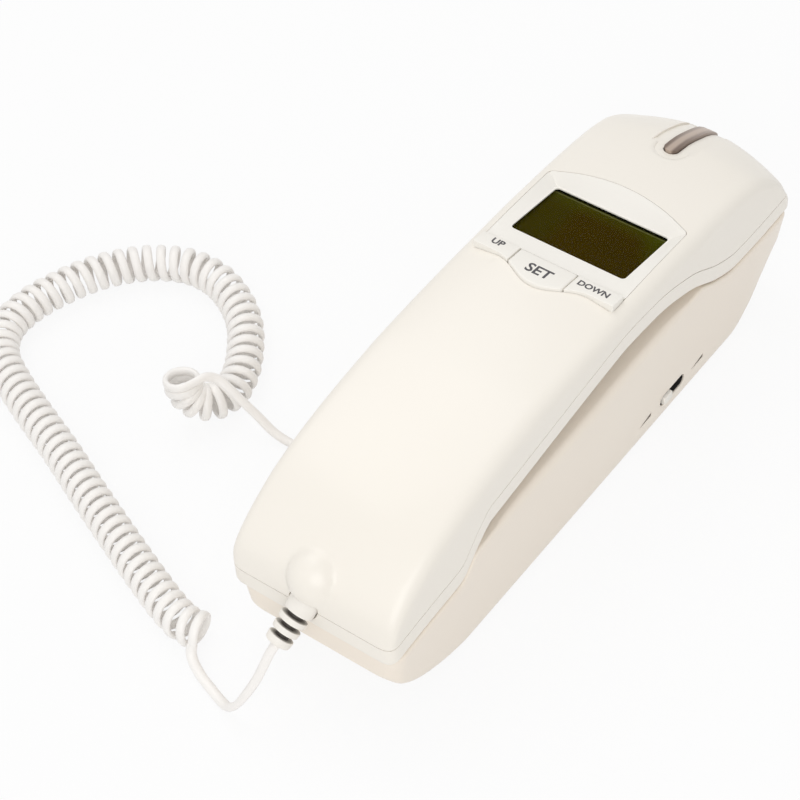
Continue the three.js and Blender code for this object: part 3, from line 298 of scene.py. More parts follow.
shellWhite = mouldedPlastic("shellWhite", (0.90, 0.855, 0.78), (0.892, 0.845, 0.766), 0.34, coat=0.12)
baseWhite = mouldedPlastic("baseWhite", (0.895, 0.815, 0.71), (0.885, 0.80, 0.695), 0.34, coat=0.12)
bezelWhite = mouldedPlastic("bezelWhite", (0.905, 0.875, 0.82), (0.895, 0.865, 0.805), 0.34, coat=0.12)
keyWhite = mouldedPlastic("keyWhite", (0.90, 0.87, 0.81), (0.89, 0.858, 0.795), 0.35, coat=0.1)
platePlastic = mouldedPlastic("platePlastic", (0.74, 0.70, 0.63), (0.72, 0.67, 0.60), 0.55, 0.5, 1500.0)
cordVinyl = mouldedPlastic("cordVinyl", (0.93, 0.905, 0.875), (0.915, 0.885, 0.85), 0.38, 0.04, 700.0)
footRubber = mouldedPlastic("footRubber", (0.42, 0.41, 0.385), (0.37, 0.36, 0.34), 0.8, 0.25, 800.0)
innerPlastic = mouldedPlastic("innerPlastic", (0.62, 0.59, 0.52), (0.58, 0.55, 0.485), 0.5)
darkPlastic = mouldedPlastic("darkPlastic", (0.016, 0.015, 0.015), (0.026, 0.025, 0.024), 0.5)
keyMat = mouldedPlastic("keyMat", (0.6, 0.58, 0.53), (0.56, 0.54, 0.49), 0.7)
functionGrey = mouldedPlastic("functionGrey", (0.42, 0.41, 0.39), (0.39, 0.38, 0.36), 0.35)
legendInk = mouldedPlastic("legendInk", (0.05, 0.046, 0.05), (0.075, 0.07, 0.075), 0.5)
# Painted shade for the engraved wedges by the ringer switch, standing in for the shadow inside them.
markShade = mouldedPlastic("markShade", (0.11, 0.088, 0.07), (0.14, 0.115, 0.09), 0.6)
ledRed = mouldedPlastic("ledRed", (0.55, 0.04, 0.03), (0.45, 0.03, 0.025), 0.2, coat=0.5)
lcdGreen = displayGlass("lcdGreen")
windowClear = clearPlastic("windowClear", (0.02, 0.02, 0.003), 0.12, 0.1, 0.06)
plugClear = clearPlastic("plugClear", (0.82, 0.85, 0.86), 0.55, 0.12, 0.5)
screwSteel = turnedMetal("screwSteel", (0.55, 0.55, 0.56), 0.32)
ballastSteel = turnedMetal("ballastSteel", (0.42, 0.41, 0.40), 0.45)
boardGreen = circuitBoard("boardGreen")
print("materials ready")


def clearSelection():
    bpy.ops.object.select_all(action="DESELECT")


def pick(piece):
    clearSelection()
    piece.select_set(True)
    bpy.context.view_layer.objects.active = piece


def inEdit(piece):
    pick(piece)
    bpy.ops.object.mode_set(mode="EDIT")
    bpy.ops.mesh.select_mode(type="VERT")
    bpy.ops.mesh.select_all(action="DESELECT")


def outOfEdit():
    bpy.ops.object.mode_set(mode="OBJECT")


# Turns every face outwards and leaves edit mode.
def turnOutwards():
    bpy.ops.mesh.select_all(action="SELECT")
    bpy.ops.mesh.normals_make_consistent(inside=False)
    outOfEdit()


def useModifier(piece, kind, **values):
    pick(piece)
    modifier = piece.modifiers.new(kind.lower(), kind)
    for key, value in values.items():
        setattr(modifier, key, value)
    bpy.ops.object.modifier_apply(modifier=modifier.name)


# Cuts one piece with another, or joins or crosses them, and removes the tool.
def carve(piece, tool, operation="DIFFERENCE"):
    useModifier(piece, "BOOLEAN", operation=operation, solver="EXACT", object=tool)
    bpy.data.objects.remove(tool)


def bevelEdges(piece, width, segments=3, angle=40):
    useModifier(piece, "BEVEL", width=width * mm, segments=segments, limit_method="ANGLE",
                angle_limit=math.radians(angle), harden_normals=False)


def settle(piece, name, material, angle=32):
    pick(piece)
    bpy.ops.object.transform_apply(location=True, rotation=True, scale=True)
    piece.name = name
    piece.data.name = name
    bpy.ops.object.shade_smooth_by_angle(angle=math.radians(angle))
    piece.data.materials.clear()
    piece.data.materials.append(material)
    return piece


def place(piece, body, slot, *nodes):
    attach(piece, body)
    if nodes:
        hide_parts(*nodes)


# A skin over rings of points: one circle, drawn out edge by edge and laid on each ring in turn.
def drawSkin(rings):
    clearSelection()
    bpy.ops.mesh.primitive_circle_add(vertices=len(rings[0]), fill_type="NOTHING")
    piece = bpy.context.object
    order = list(range(len(rings[0])))
    bpy.ops.object.mode_set(mode="EDIT")
    bpy.ops.mesh.select_mode(type="VERT")
    bpy.ops.mesh.select_all(action="SELECT")
    layRing(piece, order, rings[0])
    for ring in rings[1:]:
        bpy.ops.mesh.extrude_region_move()
        order = followOrder(piece, order)
        layRing(piece, order, ring)
    bpy.ops.mesh.edge_face_add()
    bpy.ops.mesh.select_all(action="DESELECT")
    mesh = bmesh.from_edit_mesh(piece.data)
    mesh.verts.ensure_lookup_table()
    for index in range(len(rings[0])):
        mesh.verts[index].select = True
    mesh.select_flush(True)
    bpy.ops.mesh.edge_face_add()
    turnOutwards()
    return piece


def layRing(piece, order, ring):
    mesh = bmesh.from_edit_mesh(piece.data)
    mesh.verts.ensure_lookup_table()
    for index, point in zip(order, ring):
        mesh.verts[index].co = Vector(point) * mm
    bmesh.update_edit_mesh(piece.data)


# The points just drawn out, in the order of the ring that they came from.
def followOrder(piece, order):
    mesh = bmesh.from_edit_mesh(piece.data)
    mesh.verts.index_update()
    placeOf = {index: i for i, index in enumerate(order)}
    fresh = [0] * len(order)
    for vert in mesh.verts:
        if vert.select:
            parent = next(edge.other_vert(vert).index for edge in vert.link_edges
                          if not edge.other_vert(vert).select)
            fresh[placeOf[parent]] = vert.index
    return fresh


# Smooth curve through points that never overshoots them.
def profileCurve(points):
    slopes = [(b[1] - a[1]) / (b[0] - a[0]) for a, b in zip(points, points[1:])]
    tangents = [slopes[0]]
    for before, after in zip(slopes, slopes[1:]):
        tangents.append(2 * before * after / (before + after) if before * after > 0 else 0)
    tangents.append(slopes[-1])

    def height(distance):
        clamped = min(max(distance, points[0][0]), points[-1][0])
        i = 0
        while i < len(points) - 2 and clamped > points[i + 1][0]:
            i += 1
        span = points[i + 1][0] - points[i][0]
        t = (clamped - points[i][0]) / span
        start = (1 + 2 * t) * (1 - t) ** 2 * points[i][1] + t * (1 - t) ** 2 * span * tangents[i]
        end = t * t * (3 - 2 * t) * points[i + 1][1] - t * t * (1 - t) * span * tangents[i + 1]
        return start + end

    return height


# Side profiles, in hundredths of the phone's length and height.
def profilePoints(shares):
    return [(x / 100 * length, z / 100 * phone["height"]) for x, z in shares]


gripStart = phone["gripStart"] * length
gripEnd = gripStart + phone["gripLength"] * length
gripEndHeight = phone["gripHeight"] + (gripEnd - gripStart) * phone["gripSlope"]
gripEase = 3
plateFromMouth = 37
plateFromEar = 33.5
footProud = 0.8

handsetTop = profileCurve(profilePoints([
    (0, 55.2), (0.96, 63.4), (2.88, 70.2), (6, 77.2), (11, 85.1), (18.2, 91.6), (26.4, 96), (36, 99),
    (49.4, 100), (61.4, 99.7), (71.9, 98.2), (81.5, 95.5), (88.3, 91.3), (93.5, 82.4), (96.9, 72.4),
    (98.8, 61.9), (100, 56.7)]))
handsetLow = profileCurve(
    profilePoints([(0, 42.2), (3.84, 43.9), (9.6, 45.7), (15.35, 47.2), (19.2, 57.5)])
    + [(gripStart - gripEase, phone["gripHeight"] - gripEase * phone["gripSlope"]),
       (gripStart, phone["gripHeight"]), (gripEnd, gripEndHeight)]
    + profilePoints([(54.7, 77.8), (62.4, 76.4), (71, 69.4), (78.7, 56.7), (83.5, 52.1), (91.1, 51.3),
                     (100, 51.9)]))
slotRim = profileCurve(profilePoints([
    (17.3, 55.2), (21.6, 56.7), (26.9, 58.2), (43.2, 60.3), (67.2, 63.1), (76.7, 62.1)]))
baseLow = profileCurve(
    profilePoints([(0.96, 26.9), (2.88, 19.4), (5.76, 12.2), (9.6, 6.6), (13.9, 2.7)])
    + [(plateFromMouth - 1, footProud), (length - plateFromEar + 1, footProud)]
    + profilePoints([(89.2, 8.4), (93, 19.7), (96.6, 29.3), (99.5, 35.8)]))


def partingHeight(distance):
    return handsetLow(distance) + phone["partingRise"]


# How far a rounded corner of the given radius stands in from the sides, near an end.
def cornerInset(distance, radius):
    reach = min(max(distance, 0), radius)
    return radius - math.sqrt(radius ** 2 - (radius - reach) ** 2)


# Distances along a skin, close together where its ends turn over.
def stations(start, end, count, crowd=1.6):
    def eased(share):
        near = min(share, 1 - share) * 2
        return near ** crowd / 2 if share < 0.5 else 1 - near ** crowd / 2
    return [start + (end - start) * eased(i / count) for i in range(count + 1)]


# Half of a cross-section from the middle of the crown down to the middle of the underside.
def halfSection(shape):
    half, low, high, crown = shape["half"], shape["low"], shape["high"], shape["crown"]
    room = max(0.2, high - low)
    shoulder = min(shape["shoulder"], room * 0.45)
    lip = min(shape["lip"], room * 0.45)
    lean = math.atan(2 * crown / (half - shoulder))
    flat = half - shoulder * (1 - math.sin(lean))
    points = []
    for i in range(shape["crownSteps"] + 1):
        x = flat * i / shape["crownSteps"]
        points.append((x, high + crown * (1 - (x / flat) ** 2)))
    centre = (flat - shoulder * math.sin(lean), high - shoulder * math.cos(lean))
    for i in range(1, shape["arcSteps"] + 1):
        turn = lean + (math.pi / 2 - lean) * i / shape["arcSteps"]
        points.append((centre[0] + shoulder * math.sin(turn), centre[1] + shoulder * math.cos(turn)))
    sideTop = points[-1][1]
    sideLow = low + lip
    for i in range(1, shape["sideSteps"]):
        share = i / shape["sideSteps"]
        points.append((half - shape["taper"] * share, sideTop + (sideLow - sideTop) * share))
    foot = half - shape["taper"]
    for i in range(shape["arcSteps"] + 1):
        turn = math.pi / 2 * i / shape["arcSteps"]
        points.append((foot - lip + lip * math.cos(turn), sideLow - lip * math.sin(turn)))
    for i in range(1, shape["underSteps"] + 1):
        points.append(((foot - lip) * (1 - i / shape["underSteps"]), low))
    return points


# A whole ring at one distance; the ear end is bowed seen from above.
def sectionRing(distance, shape, deck=None):
    right = halfSection(shape)
    left = [(-x, z) for x, z in reversed(right[1:-1])]
    fade = min(max((distance - length) / phone["bowReach"] + 1, 0), 1) ** 2
    ring = []
    for i, (x, z) in enumerate(right + left):
        y = fromMouth(distance) - phone["earBow"] * fade * (x / halfWidth) ** 2
        onDeck = deck and z > shape["high"] - 0.001
        ring.append((x, y, z - (deck(distance, x) if onDeck else 0)))
    return ring


# Rings drawn in towards their own middle, to close an end.
def closingRings(ring):
    middle = sum((Vector(point) for point in ring), Vector()) / len(ring)
    return [[middle.lerp(Vector(point), share) for point in ring] for share in (0.85, 0.6, 0.3, 0.08)]


def closedSkin(rings):
    return drawSkin(closingRings(rings[0])[::-1] + rings + closingRings(rings[-1]))


outerSteps = {"arcSteps": 7, "sideSteps": 8, "underSteps": 7}
innerSteps = {"arcSteps": 3, "sideSteps": 3, "underSteps": 4}
leastHeight = 0.4           # of a section

handsetForm = {
    "wall": 2.2,
    "roofShare": 1.15,      # of the wall, where it is the roof
    "crown": 2,
    "earCrown": 8,
    "earCrownLength": 40,
    "shoulder": 4.5,
    "lip": 1.6,
    "corner": 3.5,
    "nose": 1.4,
    "stations": 96,
    "innerStations": 48,
}


# The handset's outside, or with an offset a coarser skin inside it, for hollowing.
def handsetSkin(offset):
    values = handsetForm
    fine = offset == 0
    count = values["stations"] if fine else values["innerStations"]
    rings = []
    for distance in stations(offset, length - offset, count):
        endShare = max(0, 1 - (length - distance) / values["earCrownLength"])
        inside = min(distance, length - distance) - offset
        nose = cornerInset(inside, values["nose"])
        low = handsetLow(distance) + offset + nose
        rings.append(sectionRing(distance, {
            "half": halfWidth - offset - cornerInset(inside, values["corner"]),
            "low": low,
            "high": max(handsetTop(distance) - offset * values["roofShare"] - nose, low + leastHeight),
            "crown": values["crown"] + values["earCrown"] * endShare ** 3,
            "shoulder": values["shoulder"],
            "lip": values["lip"],
            "taper": 0,
            "crownSteps": 16 if fine else 8,
            **(outerSteps if fine else innerSteps),
        }))
    return closedSkin(rings)


def copyOf(piece):
    twin = piece.copy()
    twin.data = piece.data.copy()
    bpy.context.collection.objects.link(twin)
    return twin


# The plane that shows the phone from its right side: along the phone, up, and out to the right.
sidePlane = Matrix(((0, 0, 1, 0), (1, 0, 0, 0), (0, 1, 0, 0), (0, 0, 0, 1)))


# A flat outline given thickness, in the plane of a matrix in millimetres.
def plateFrom(outline, low, high, matrix=Matrix.Identity(4)):
    clearSelection()
    bpy.ops.mesh.primitive_circle_add(vertices=len(outline), fill_type="NGON")
    piece = bpy.context.object
    for vert, (x, y) in zip(piece.data.vertices, outline):
        vert.co = Vector((x, y, low))
    inEdit(piece)
    bpy.ops.mesh.select_all(action="SELECT")
    bpy.ops.mesh.extrude_region_move(TRANSFORM_OT_translate={"value": (0, 0, high - low)})
    turnOutwards()
    piece.matrix_world = Matrix.Scale(mm, 4) @ matrix
    pick(piece)
    bpy.ops.object.transform_apply(location=True, rotation=True, scale=True)
    return piece


# Everything above, or below, a curve along the phone: a long block cut to it from the side.
def sideOf(curve, farHeight):
    steps, past, reach = 120, 30, 40
    line = [length * (i / steps) for i in range(steps + 1)]
    outline = [(-past, curve(0))] + [(d, curve(d)) for d in line] + [(length + past, curve(length))]
    outline += [(length + past, farHeight), (-past, farHeight)]
    return plateFrom([(fromMouth(d), height) for d, height in outline], -reach, reach, sidePlane)


def arcPoints(centre, radius, start, end, steps):
    turns = [math.radians(start + (end - start) * i / steps) for i in range(steps + 1)]
    return [(centre[0] + radius * math.cos(turn), centre[1] + radius * math.sin(turn)) for turn in turns]


def roundedBox(width, depth, radius, centre=(0, 0), steps=6):
    x, y = width / 2 - radius, depth / 2 - radius
    corners = [(x, y, 0), (-x, y, 90), (-x, -y, 180), (x, -y, 270)]
    outline = []
    for cornerX, cornerY, turn in corners:
        outline += arcPoints((centre[0] + cornerX, centre[1] + cornerY), radius, turn, turn + 90, steps)
    return outline


def drum(radius, low, high, x=0.0, y=0.0, sides=64):
    clearSelection()
    bpy.ops.mesh.primitive_cylinder_add(
        vertices=sides, radius=radius * mm, depth=(high - low) * mm,
        location=(x * mm, y * mm, (low + high) / 2 * mm))
    bpy.ops.object.transform_apply(location=True, rotation=True, scale=True)
    return bpy.context.object


def box(sizes, middle):
    clearSelection()
    bpy.ops.mesh.primitive_cube_add(size=1, location=[value * mm for value in middle])
    piece = bpy.context.object
    piece.scale = [value * mm for value in sizes]
    bpy.ops.object.transform_apply(location=True, rotation=True, scale=True)
    return piece


def joined(pieces):
    clearSelection()
    for piece in pieces:
        piece.select_set(True)
    bpy.context.view_layer.objects.active = pieces[0]
    if len(pieces) > 1:
        bpy.ops.object.join()
    return bpy.context.object


display = {
    "fromEar": 71.5,
    "height": 65.1,
    "tilt": 8.6,
    "windowWidth": 39.2,
    "windowLength": 24.4,
    "windowCorner": 1.3,
    "land": 0.5,            # flat rim round the window
    "frameGap": 0.14,
    "topMargin": 2,
    "topBow": 4.7,
    "topCorner": 1.6,
    "keyMargin": 6.5,
    "width": 48,
    "depth": 6.2,
    "lip": 0.4,
    "windowHide": 1.4,      # of the window, under the frame
    "windowThickness": 0.8,
    "glassThickness": 2.6,
    "corner": 1.2,
    "keyLength": 5.6,       # at the outer ends of the row
    "lobe": 5.7,            # how much further down the middle key reaches
    "lobeReach": 16,
    "keyProud": 0.6,
    "keyLow": -5.3,
    "setEnds": (-10.9, 8.5),
    "keyGap": 0.4,
    "collarWall": 1.6,
    "collarDepth": 2.5,
}
displayPlane = (Matrix.Translation((0, fromEar(display["fromEar"]), display["height"]))
                @ Matrix.Rotation(-math.radians(display["tilt"]), 4, "X"))
bezelTop = display["windowLength"] / 2 + display["topMargin"]
bezelLow = -display["windowLength"] / 2 - display["keyMargin"]
keyRowTop = bezelLow - display["keyGap"]


# The lower edge of the row of keys sweeps down to the middle one.
def keyEdge(x):
    share = min(abs(x) / display["lobeReach"], 1)
    return keyRowTop - display["keyLength"] - display["lobe"] * math.cos(math.pi / 2 * share) ** 2


def topEdge(x, w):
    return bezelTop + display["topBow"] * (1 - (x / w) ** 2)


# The frame round the window; its lower side is straight or follows the edge of the keys.
def panelOutline(grow, edge=None):
    w = display["width"] / 2 + grow
    corner = display["corner"] + grow
    low = (edge(w) if edge else bezelLow) - grow
    outline = arcPoints((w - corner, low + corner), corner, -90, 0, 5)
    topCorner = display["topCorner"]
    inner = w - topCorner
    high = topEdge(inner, w) + grow - topCorner
    outline += arcPoints((inner, high), topCorner, 0, 65, 5)
    for i in range(1, 40):
        x = (1 - i / 20) * inner
        outline.append((x, topEdge(x, w) + grow))
    outline += arcPoints((-inner, high), topCorner, 115, 180, 5)
    outline += arcPoints((-w + corner, low + corner), corner, 180, 270, 5)
    if edge:
        for i in range(1, 64):
            x = (-1 + i / 32) * (w - corner)
            outline.append((x, edge(x) - grow))
    return outline


def panelTool(grow, low):
    return plateFrom(panelOutline(grow, keyEdge), low, 14, displayPlane)


lamp = {
    "length": 26.7,
    "width": 4.6,
    "fromEar": 16.4,
    "proud": 0.9,
    "depth": 3.0,
    "grooveWidth": 10.4,
    "grooveDepth": 0.6,
    "grooveReach": 6,       # past the phone's ear end
    "grooveEdge": [(0, -4), (0, -0.58), (0.2, -0.42), (0.5, -0.24), (0.9, -0.1), (1.4, 0), (2, 0.08),
                   (2, 30)],      # how far the groove widens, and at what height over the skin
    "skinEnd": 3.5,         # from the ear end, the last place where the skin's height is read
}
lampY = fromEar(lamp["fromEar"])


def lampColumn(grow):
    width = lamp["width"] + grow
    outline = roundedBox(width, lamp["length"] + grow, width / 2 - 0.01, (0, lampY), 12)
    return plateFrom(outline, 30, 90)


def lampGroove():
    reach = lamp["fromEar"] + lamp["grooveReach"]
    size = lamp["length"] / 2 + (lamp["grooveWidth"] - lamp["width"]) / 2 + reach
    last = fromEar(lamp["skinEnd"])
    rings = []
    for grow, rise in lamp["grooveEdge"]:
        width = lamp["grooveWidth"] + 2 * grow
        outline = roundedBox(width, size + 2 * grow, width / 2 - 0.01, (0, lampY + reach - size / 2), 14)
        rings.append([(x, y, skinHeight(x, min(y, last)) + rise) for x, y in outline])
    column = closedSkin(rings)
    carve(column, handsetSkin(lamp["grooveDepth"]))
    return column


boot = {
    "fromMouth": 7.6,
    "height": 42.5,
    "angle": 40,
    "yaw": 14,              # the boot leans to the coil's side
    "domeRadius": 8.7,
    "domeShift": (-0.8, -1.5, 0.3),
    "domeBlend": 0.9,
    "rootRadius": 4.6,
    "tipRadius": 3.8,
    "start": 7.6,
    "length": 15.8,
    "rootLength": 8,
    "grooves": 3,
    "firstGroove": 5.2,
    "groovePitch": 3.3,
    "grooveWidth": 1.5,
    "grooveEdge": [(-0.25, 0), (-0.05, 0.08), (0, 0.3), (0.05, 1.75), (0.2, 1.9)],     # along, and how deep
    "tipEdge": [(0.8, 0), (0.3, 0.12), (0.05, 0.5), (0, 0.9), (0, 2.8)],
    "hole": (-3, 16),
}
bootCentre = Vector((0, fromMouth(boot["fromMouth"]), boot["height"]))
bootTurn = (Matrix.Rotation(-math.radians(boot["yaw"]), 4, "Z")
            @ Matrix.Rotation(math.radians(90 + boot["angle"]), 4, "X"))
bootPlane = Matrix.Translation(bootCentre) @ bootTurn
bootWay = bootTurn.to_3x3() @ Vector((0, 0, 1))


def bootCircle(radius):
    return arcPoints((0, 0), radius, 0, 352.5, 47)


def bootHole():
    return plateFrom(bootCircle(boot["rootRadius"] + phone["fitGap"]), *boot["hole"], bootPlane)


# The shell swells into a round nose where the cord's boot comes out.
def swellNose(piece):
    centre = (bootCentre + Vector(boot["domeShift"])) * mm
    radius = boot["domeRadius"] * mm
    blend = boot["domeBlend"] * mm
    for vert in piece.data.vertices:
        away = vert.co - centre
        distance = away.length
        if distance < radius + blend and distance > 1e-6:
            gap = max(blend - abs(distance - radius), 0) / blend
            swollen = max(distance, radius) + gap * gap * blend / 4
            vert.co = centre + away * (swollen / distance)


handsetOuter = handsetSkin(0)
swellNose(handsetOuter)
handsetWhole = copyOf(handsetOuter)
carve(handsetWhole, handsetSkin(handsetForm["wall"]))
skinTree = BVHTree.FromPolygons([vert.co for vert in handsetOuter.data.vertices],
                                [face.vertices for face in handsetOuter.data.polygons])
print("handset skin drawn")


# How high the handset's skin stands over a point of a plane, in millimetres, or 40 where there is no skin.
def skinHeight(x, y, plane=Matrix.Identity(4)):
    above = plane @ Vector((x, y, 100))
    down = plane.to_3x3() @ Vector((0, 0, -1))
    hit = skinTree.ray_cast(above * mm, down)[0]
    return (plane.inverted() @ (hit / mm)).z if hit else 40


def makeBackShell():
    shell = copyOf(handsetWhole)
    collar = panelTool(phone["fitGap"] + display["collarWall"], -display["collarDepth"])
    carve(collar, copyOf(handsetOuter), "INTERSECT")
    carve(shell, collar, "UNION")
    carve(shell, panelTool(display["frameGap"], -display["depth"] - 1))
    carve(shell, lampGroove())
    carve(shell, lampColumn(2 * phone["fitGap"]))
    carve(shell, sideOf(lambda d: partingHeight(d) + phone["fitGap"] / 2, 100), "INTERSECT")
    carve(shell, bootHole())
    place(settle(shell, "backShell", shellWhite), "handset", "shell", "handset_back_shell")


makeBackShell()
print("back shell moulded")

# The round caps over the receiver and the microphone; gripSide says on which hand of a cap the grip lies.
capForm = {
    "wall": 2,
    "rim": 1.6,
    "rise": 1.2,            # over the handset's underside by the grip
    "holeRadius": 1.1,
    "holeRing": 5.5,
    "pocketWall": 3,        # of the base's pockets
    "pocketGap": 0.8,
}
caps = [
    {"distance": length - 27, "radius": 19.5, "low": 27.5, "holes": 6, "gripSide": -1},
    {"distance": 24, "radius": 15, "low": 24, "holes": 0, "gripSide": 1},
]
# Where the handset's screws stand, how far along their holes' height is read, and the holes.
screwPlaces = [(fromEar(51.5), 51.5), (fromMouth(gripStart - 5), gripStart - 5)]
screwHole = {"radius": 3, "below": 12, "above": 3}


def soundCap(cap, top):
    piece = drum(cap["radius"], cap["low"], top, 0, fromMouth(cap["distance"]), 96)
    inEdit(piece)
    mesh = bmesh.from_edit_mesh(piece.data)
    for face in mesh.faces:
        if face.normal.z < -0.9:
            face.select = True
    bpy.ops.mesh.bevel(offset=capForm["rim"] * mm, segments=5, affect="EDGES")
    bpy.ops.mesh.select_all(action="DESELECT")
    outOfEdit()
    return piece


# A hole in the middle of a cap and, if it has more, a ring of them.
def soundHoles(cap):
    y = fromMouth(cap["distance"])
    places = [(0, y)]
    for i in range(cap["holes"]):
        turn = 2 * math.pi * i / cap["holes"]
        places.append((capForm["holeRing"] * math.cos(turn), y + capForm["holeRing"] * math.sin(turn)))
    low, high = cap["low"] - 1, cap["low"] + capForm["wall"] + 1
    return joined([drum(capForm["holeRadius"], low, high, x, holeY, 20) for x, holeY in places])


keypad = {
    "pitchX": 13.0,
    "pitchY": 0.19 * phone["gripLength"] * length,
    "keyWidth": 9.6,
    "functionLength": 5.0,
    "corner": 2.6,
    "proud": 1.2,
    "flange": 0.9,
    "flangeLow": 2.5,
    "flangeThickness": 1.0,
    "gap": 0.35,
    "legendSize": 4.6,
    "legendWeight": 0.02,
    "starDrop": 1.0,        # a star stands high in its line
}
keypad["keyLength"] = 0.58 * keypad["pitchY"]
keypadPlane = (Matrix.Translation((0, fromMouth((gripStart + gripEnd) / 2),
                                   (phone["gripHeight"] + gripEndHeight) / 2))
               @ Matrix.Rotation(math.atan(phone["gripSlope"]), 4, "X"))
keyFaces = ["1", "2", "3", "4", "5", "6", "7", "8", "9", "star", "0", "hash"]


def keyPlaces():
    places = []
    for i, face in enumerate(keyFaces):
        places.append(("key_" + face, face, keypad["keyLength"],
                       keypad["pitchX"] * (1 - i % 3), keypad["pitchY"] * (2 - i // 3)))
    for node, side in (("flash_key", 1), ("redial_key", -1)):
        places.append((node, node, keypad["functionLength"], keypad["pitchX"] * side, -2 * keypad["pitchY"]))
    return places


def keyHoles():
    tools = []
    for node, face, size, x, y in keyPlaces():
        outline = roundedBox(keypad["keyWidth"] + 2 * keypad["gap"], size + 2 * keypad["gap"],
                             keypad["corner"] - 0.3, (x, y))
        tools.append(plateFrom(outline, -3, 4.2, keypadPlane))
    return joined(tools)


def makeFaceShell():
    shell = copyOf(handsetWhole)
    carve(shell, sideOf(lambda d: partingHeight(d) - phone["fitGap"] / 2, -20), "INTERSECT")
    wall = capForm["wall"]
    for cap in caps:
        top = handsetLow(cap["distance"] + cap["gripSide"] * cap["radius"]) + capForm["rise"]
        carve(shell, soundCap(cap, top), "UNION")
        carve(shell, drum(cap["radius"] - wall, cap["low"] + wall, top + 6, 0, fromMouth(cap["distance"])))
        carve(shell, soundHoles(cap))
    carve(shell, keyHoles())
    carve(shell, bootHole())
    for y, distance in screwPlaces:
        low, high = handsetLow(distance) - screwHole["below"], handsetLow(distance) + screwHole["above"]
        carve(shell, drum(screwHole["radius"], low, high, 0, y, 32))
    place(settle(shell, "faceShell", shellWhite), "handset", "shell", "handset_face_shell")


makeFaceShell()
print("face shell moulded")

baseForm = {
    "wall": 2.2,
    "taper": 1.6,
    "rimGap": 0.6,
    "rim": 0.9,
    "rimByGrip": 2.2,
    "corner": 4.5,
    "bilge": 2.6,
    "mouthInset": 2,
    "earInset": 1,
    "stations": 110,
    "innerStations": 50,
    "dishDepth": 4.5,
    "dishHalfWidth": 19,
    "dishStart": 0.24 * length,
    "dishLength": 0.46 * length,
    "plateWidth": 44,
    "plateCorner": 6,
    "plateRecess": 3.5,
    "hookHole": 3.35,
    "hookY": fromEar(56.5),
}


def baseRim(distance):
    return min(handsetLow(distance) - baseForm["rimGap"], slotRim(distance))


# The trough under the grip, where fingers reach round the handset: 1 along its middle, 0 past its ends.
def dishFade(distance):
    along = 2 * (distance - baseForm["dishStart"]) / baseForm["dishLength"] - 1
    return math.sqrt(1 - along ** 4) if abs(along) < 1 else 0


def deckDip(distance, x):
    fade = dishFade(distance)
    across = x / (baseForm["dishHalfWidth"] * (0.8 + 0.2 * fade))
    return baseForm["dishDepth"] * fade * math.sqrt(1 - across ** 2) if abs(across) < 1 else 0


def baseSkin(offset):
    values = baseForm
    fine = offset == 0
    count = values["stations"] if fine else values["innerStations"]
    rings = []
    start, end = values["mouthInset"] + offset, length - values["earInset"] - offset
    for distance in stations(start, end, count):
        inside = min(distance - start, end - distance)
        low = baseLow(distance) + offset
        rings.append(sectionRing(distance, {
            "half": halfWidth - offset - cornerInset(inside, values["corner"]),
            "low": low,
            "high": max(baseRim(distance) - offset, low + leastHeight),
            "crown": 0,
            "shoulder": values["rim"] + (values["rimByGrip"] - values["rim"]) * dishFade(distance),
            "lip": values["bilge"],
            "taper": values["taper"],
            "crownSteps": 22 if fine else 12,
            **(outerSteps if fine else innerSteps),
        }, deckDip))
    return closedSkin(rings)


sockets = {
    "handsetY": fromMouth(68),
    "lineY": fromEar(56.5),
    "width": 13,
    "height": 11,
    "depth": 15,
    "setBack": 1,
    "reach": 6,             # of the cutting box, past the side
    "floor": 3.5,
}
ringer = {
    "y": fromEar(67.5),
    "height": 8.9,
    "slotLength": 13.2,
    "slotShift": 0.6,
    "slotHeight": 4.4,
    "slotCorner": 1.8,
    "markReach": 14.5,
    "markLength": 7,
    "markHeight": 1.7,
}


def socketTool(y):
    gap, reach = phone["fitGap"], sockets["reach"]
    size = reach + sockets["setBack"] + sockets["depth"] + gap
    return box((size, sockets["width"] + 2 * gap, sockets["height"] + 2 * gap),
               (-halfWidth - reach + size / 2, y, sockets["floor"] + sockets["height"] / 2))


# A wedge on each hand of the ringer switch, one for quiet and one for loud. Trim makes it smaller all round;
# low and high are measured outwards from the phone's right side.
def ringerMark(side, trim, low, high):
    y = ringer["y"] + side * ringer["markReach"]
    foot = ringer["height"] - ringer["markHeight"] / 2 + trim / 2
    size = ringer["markLength"] / 2 - trim
    wedge = [(y - size, foot), (y + size, foot), (y + size, foot + ringer["markHeight"] - trim)]
    return plateFrom(wedge, halfWidth + low, halfWidth + high, sidePlane)


def ringerSlot(trim, low, high):
    middle = (ringer["y"] + ringer["slotShift"], ringer["height"])
    outline = roundedBox(ringer["slotLength"] - trim, ringer["slotHeight"] - trim,
                         ringer["slotCorner"] - trim / 2, middle)
    return plateFrom(outline, halfWidth + low, halfWidth + high, sidePlane)


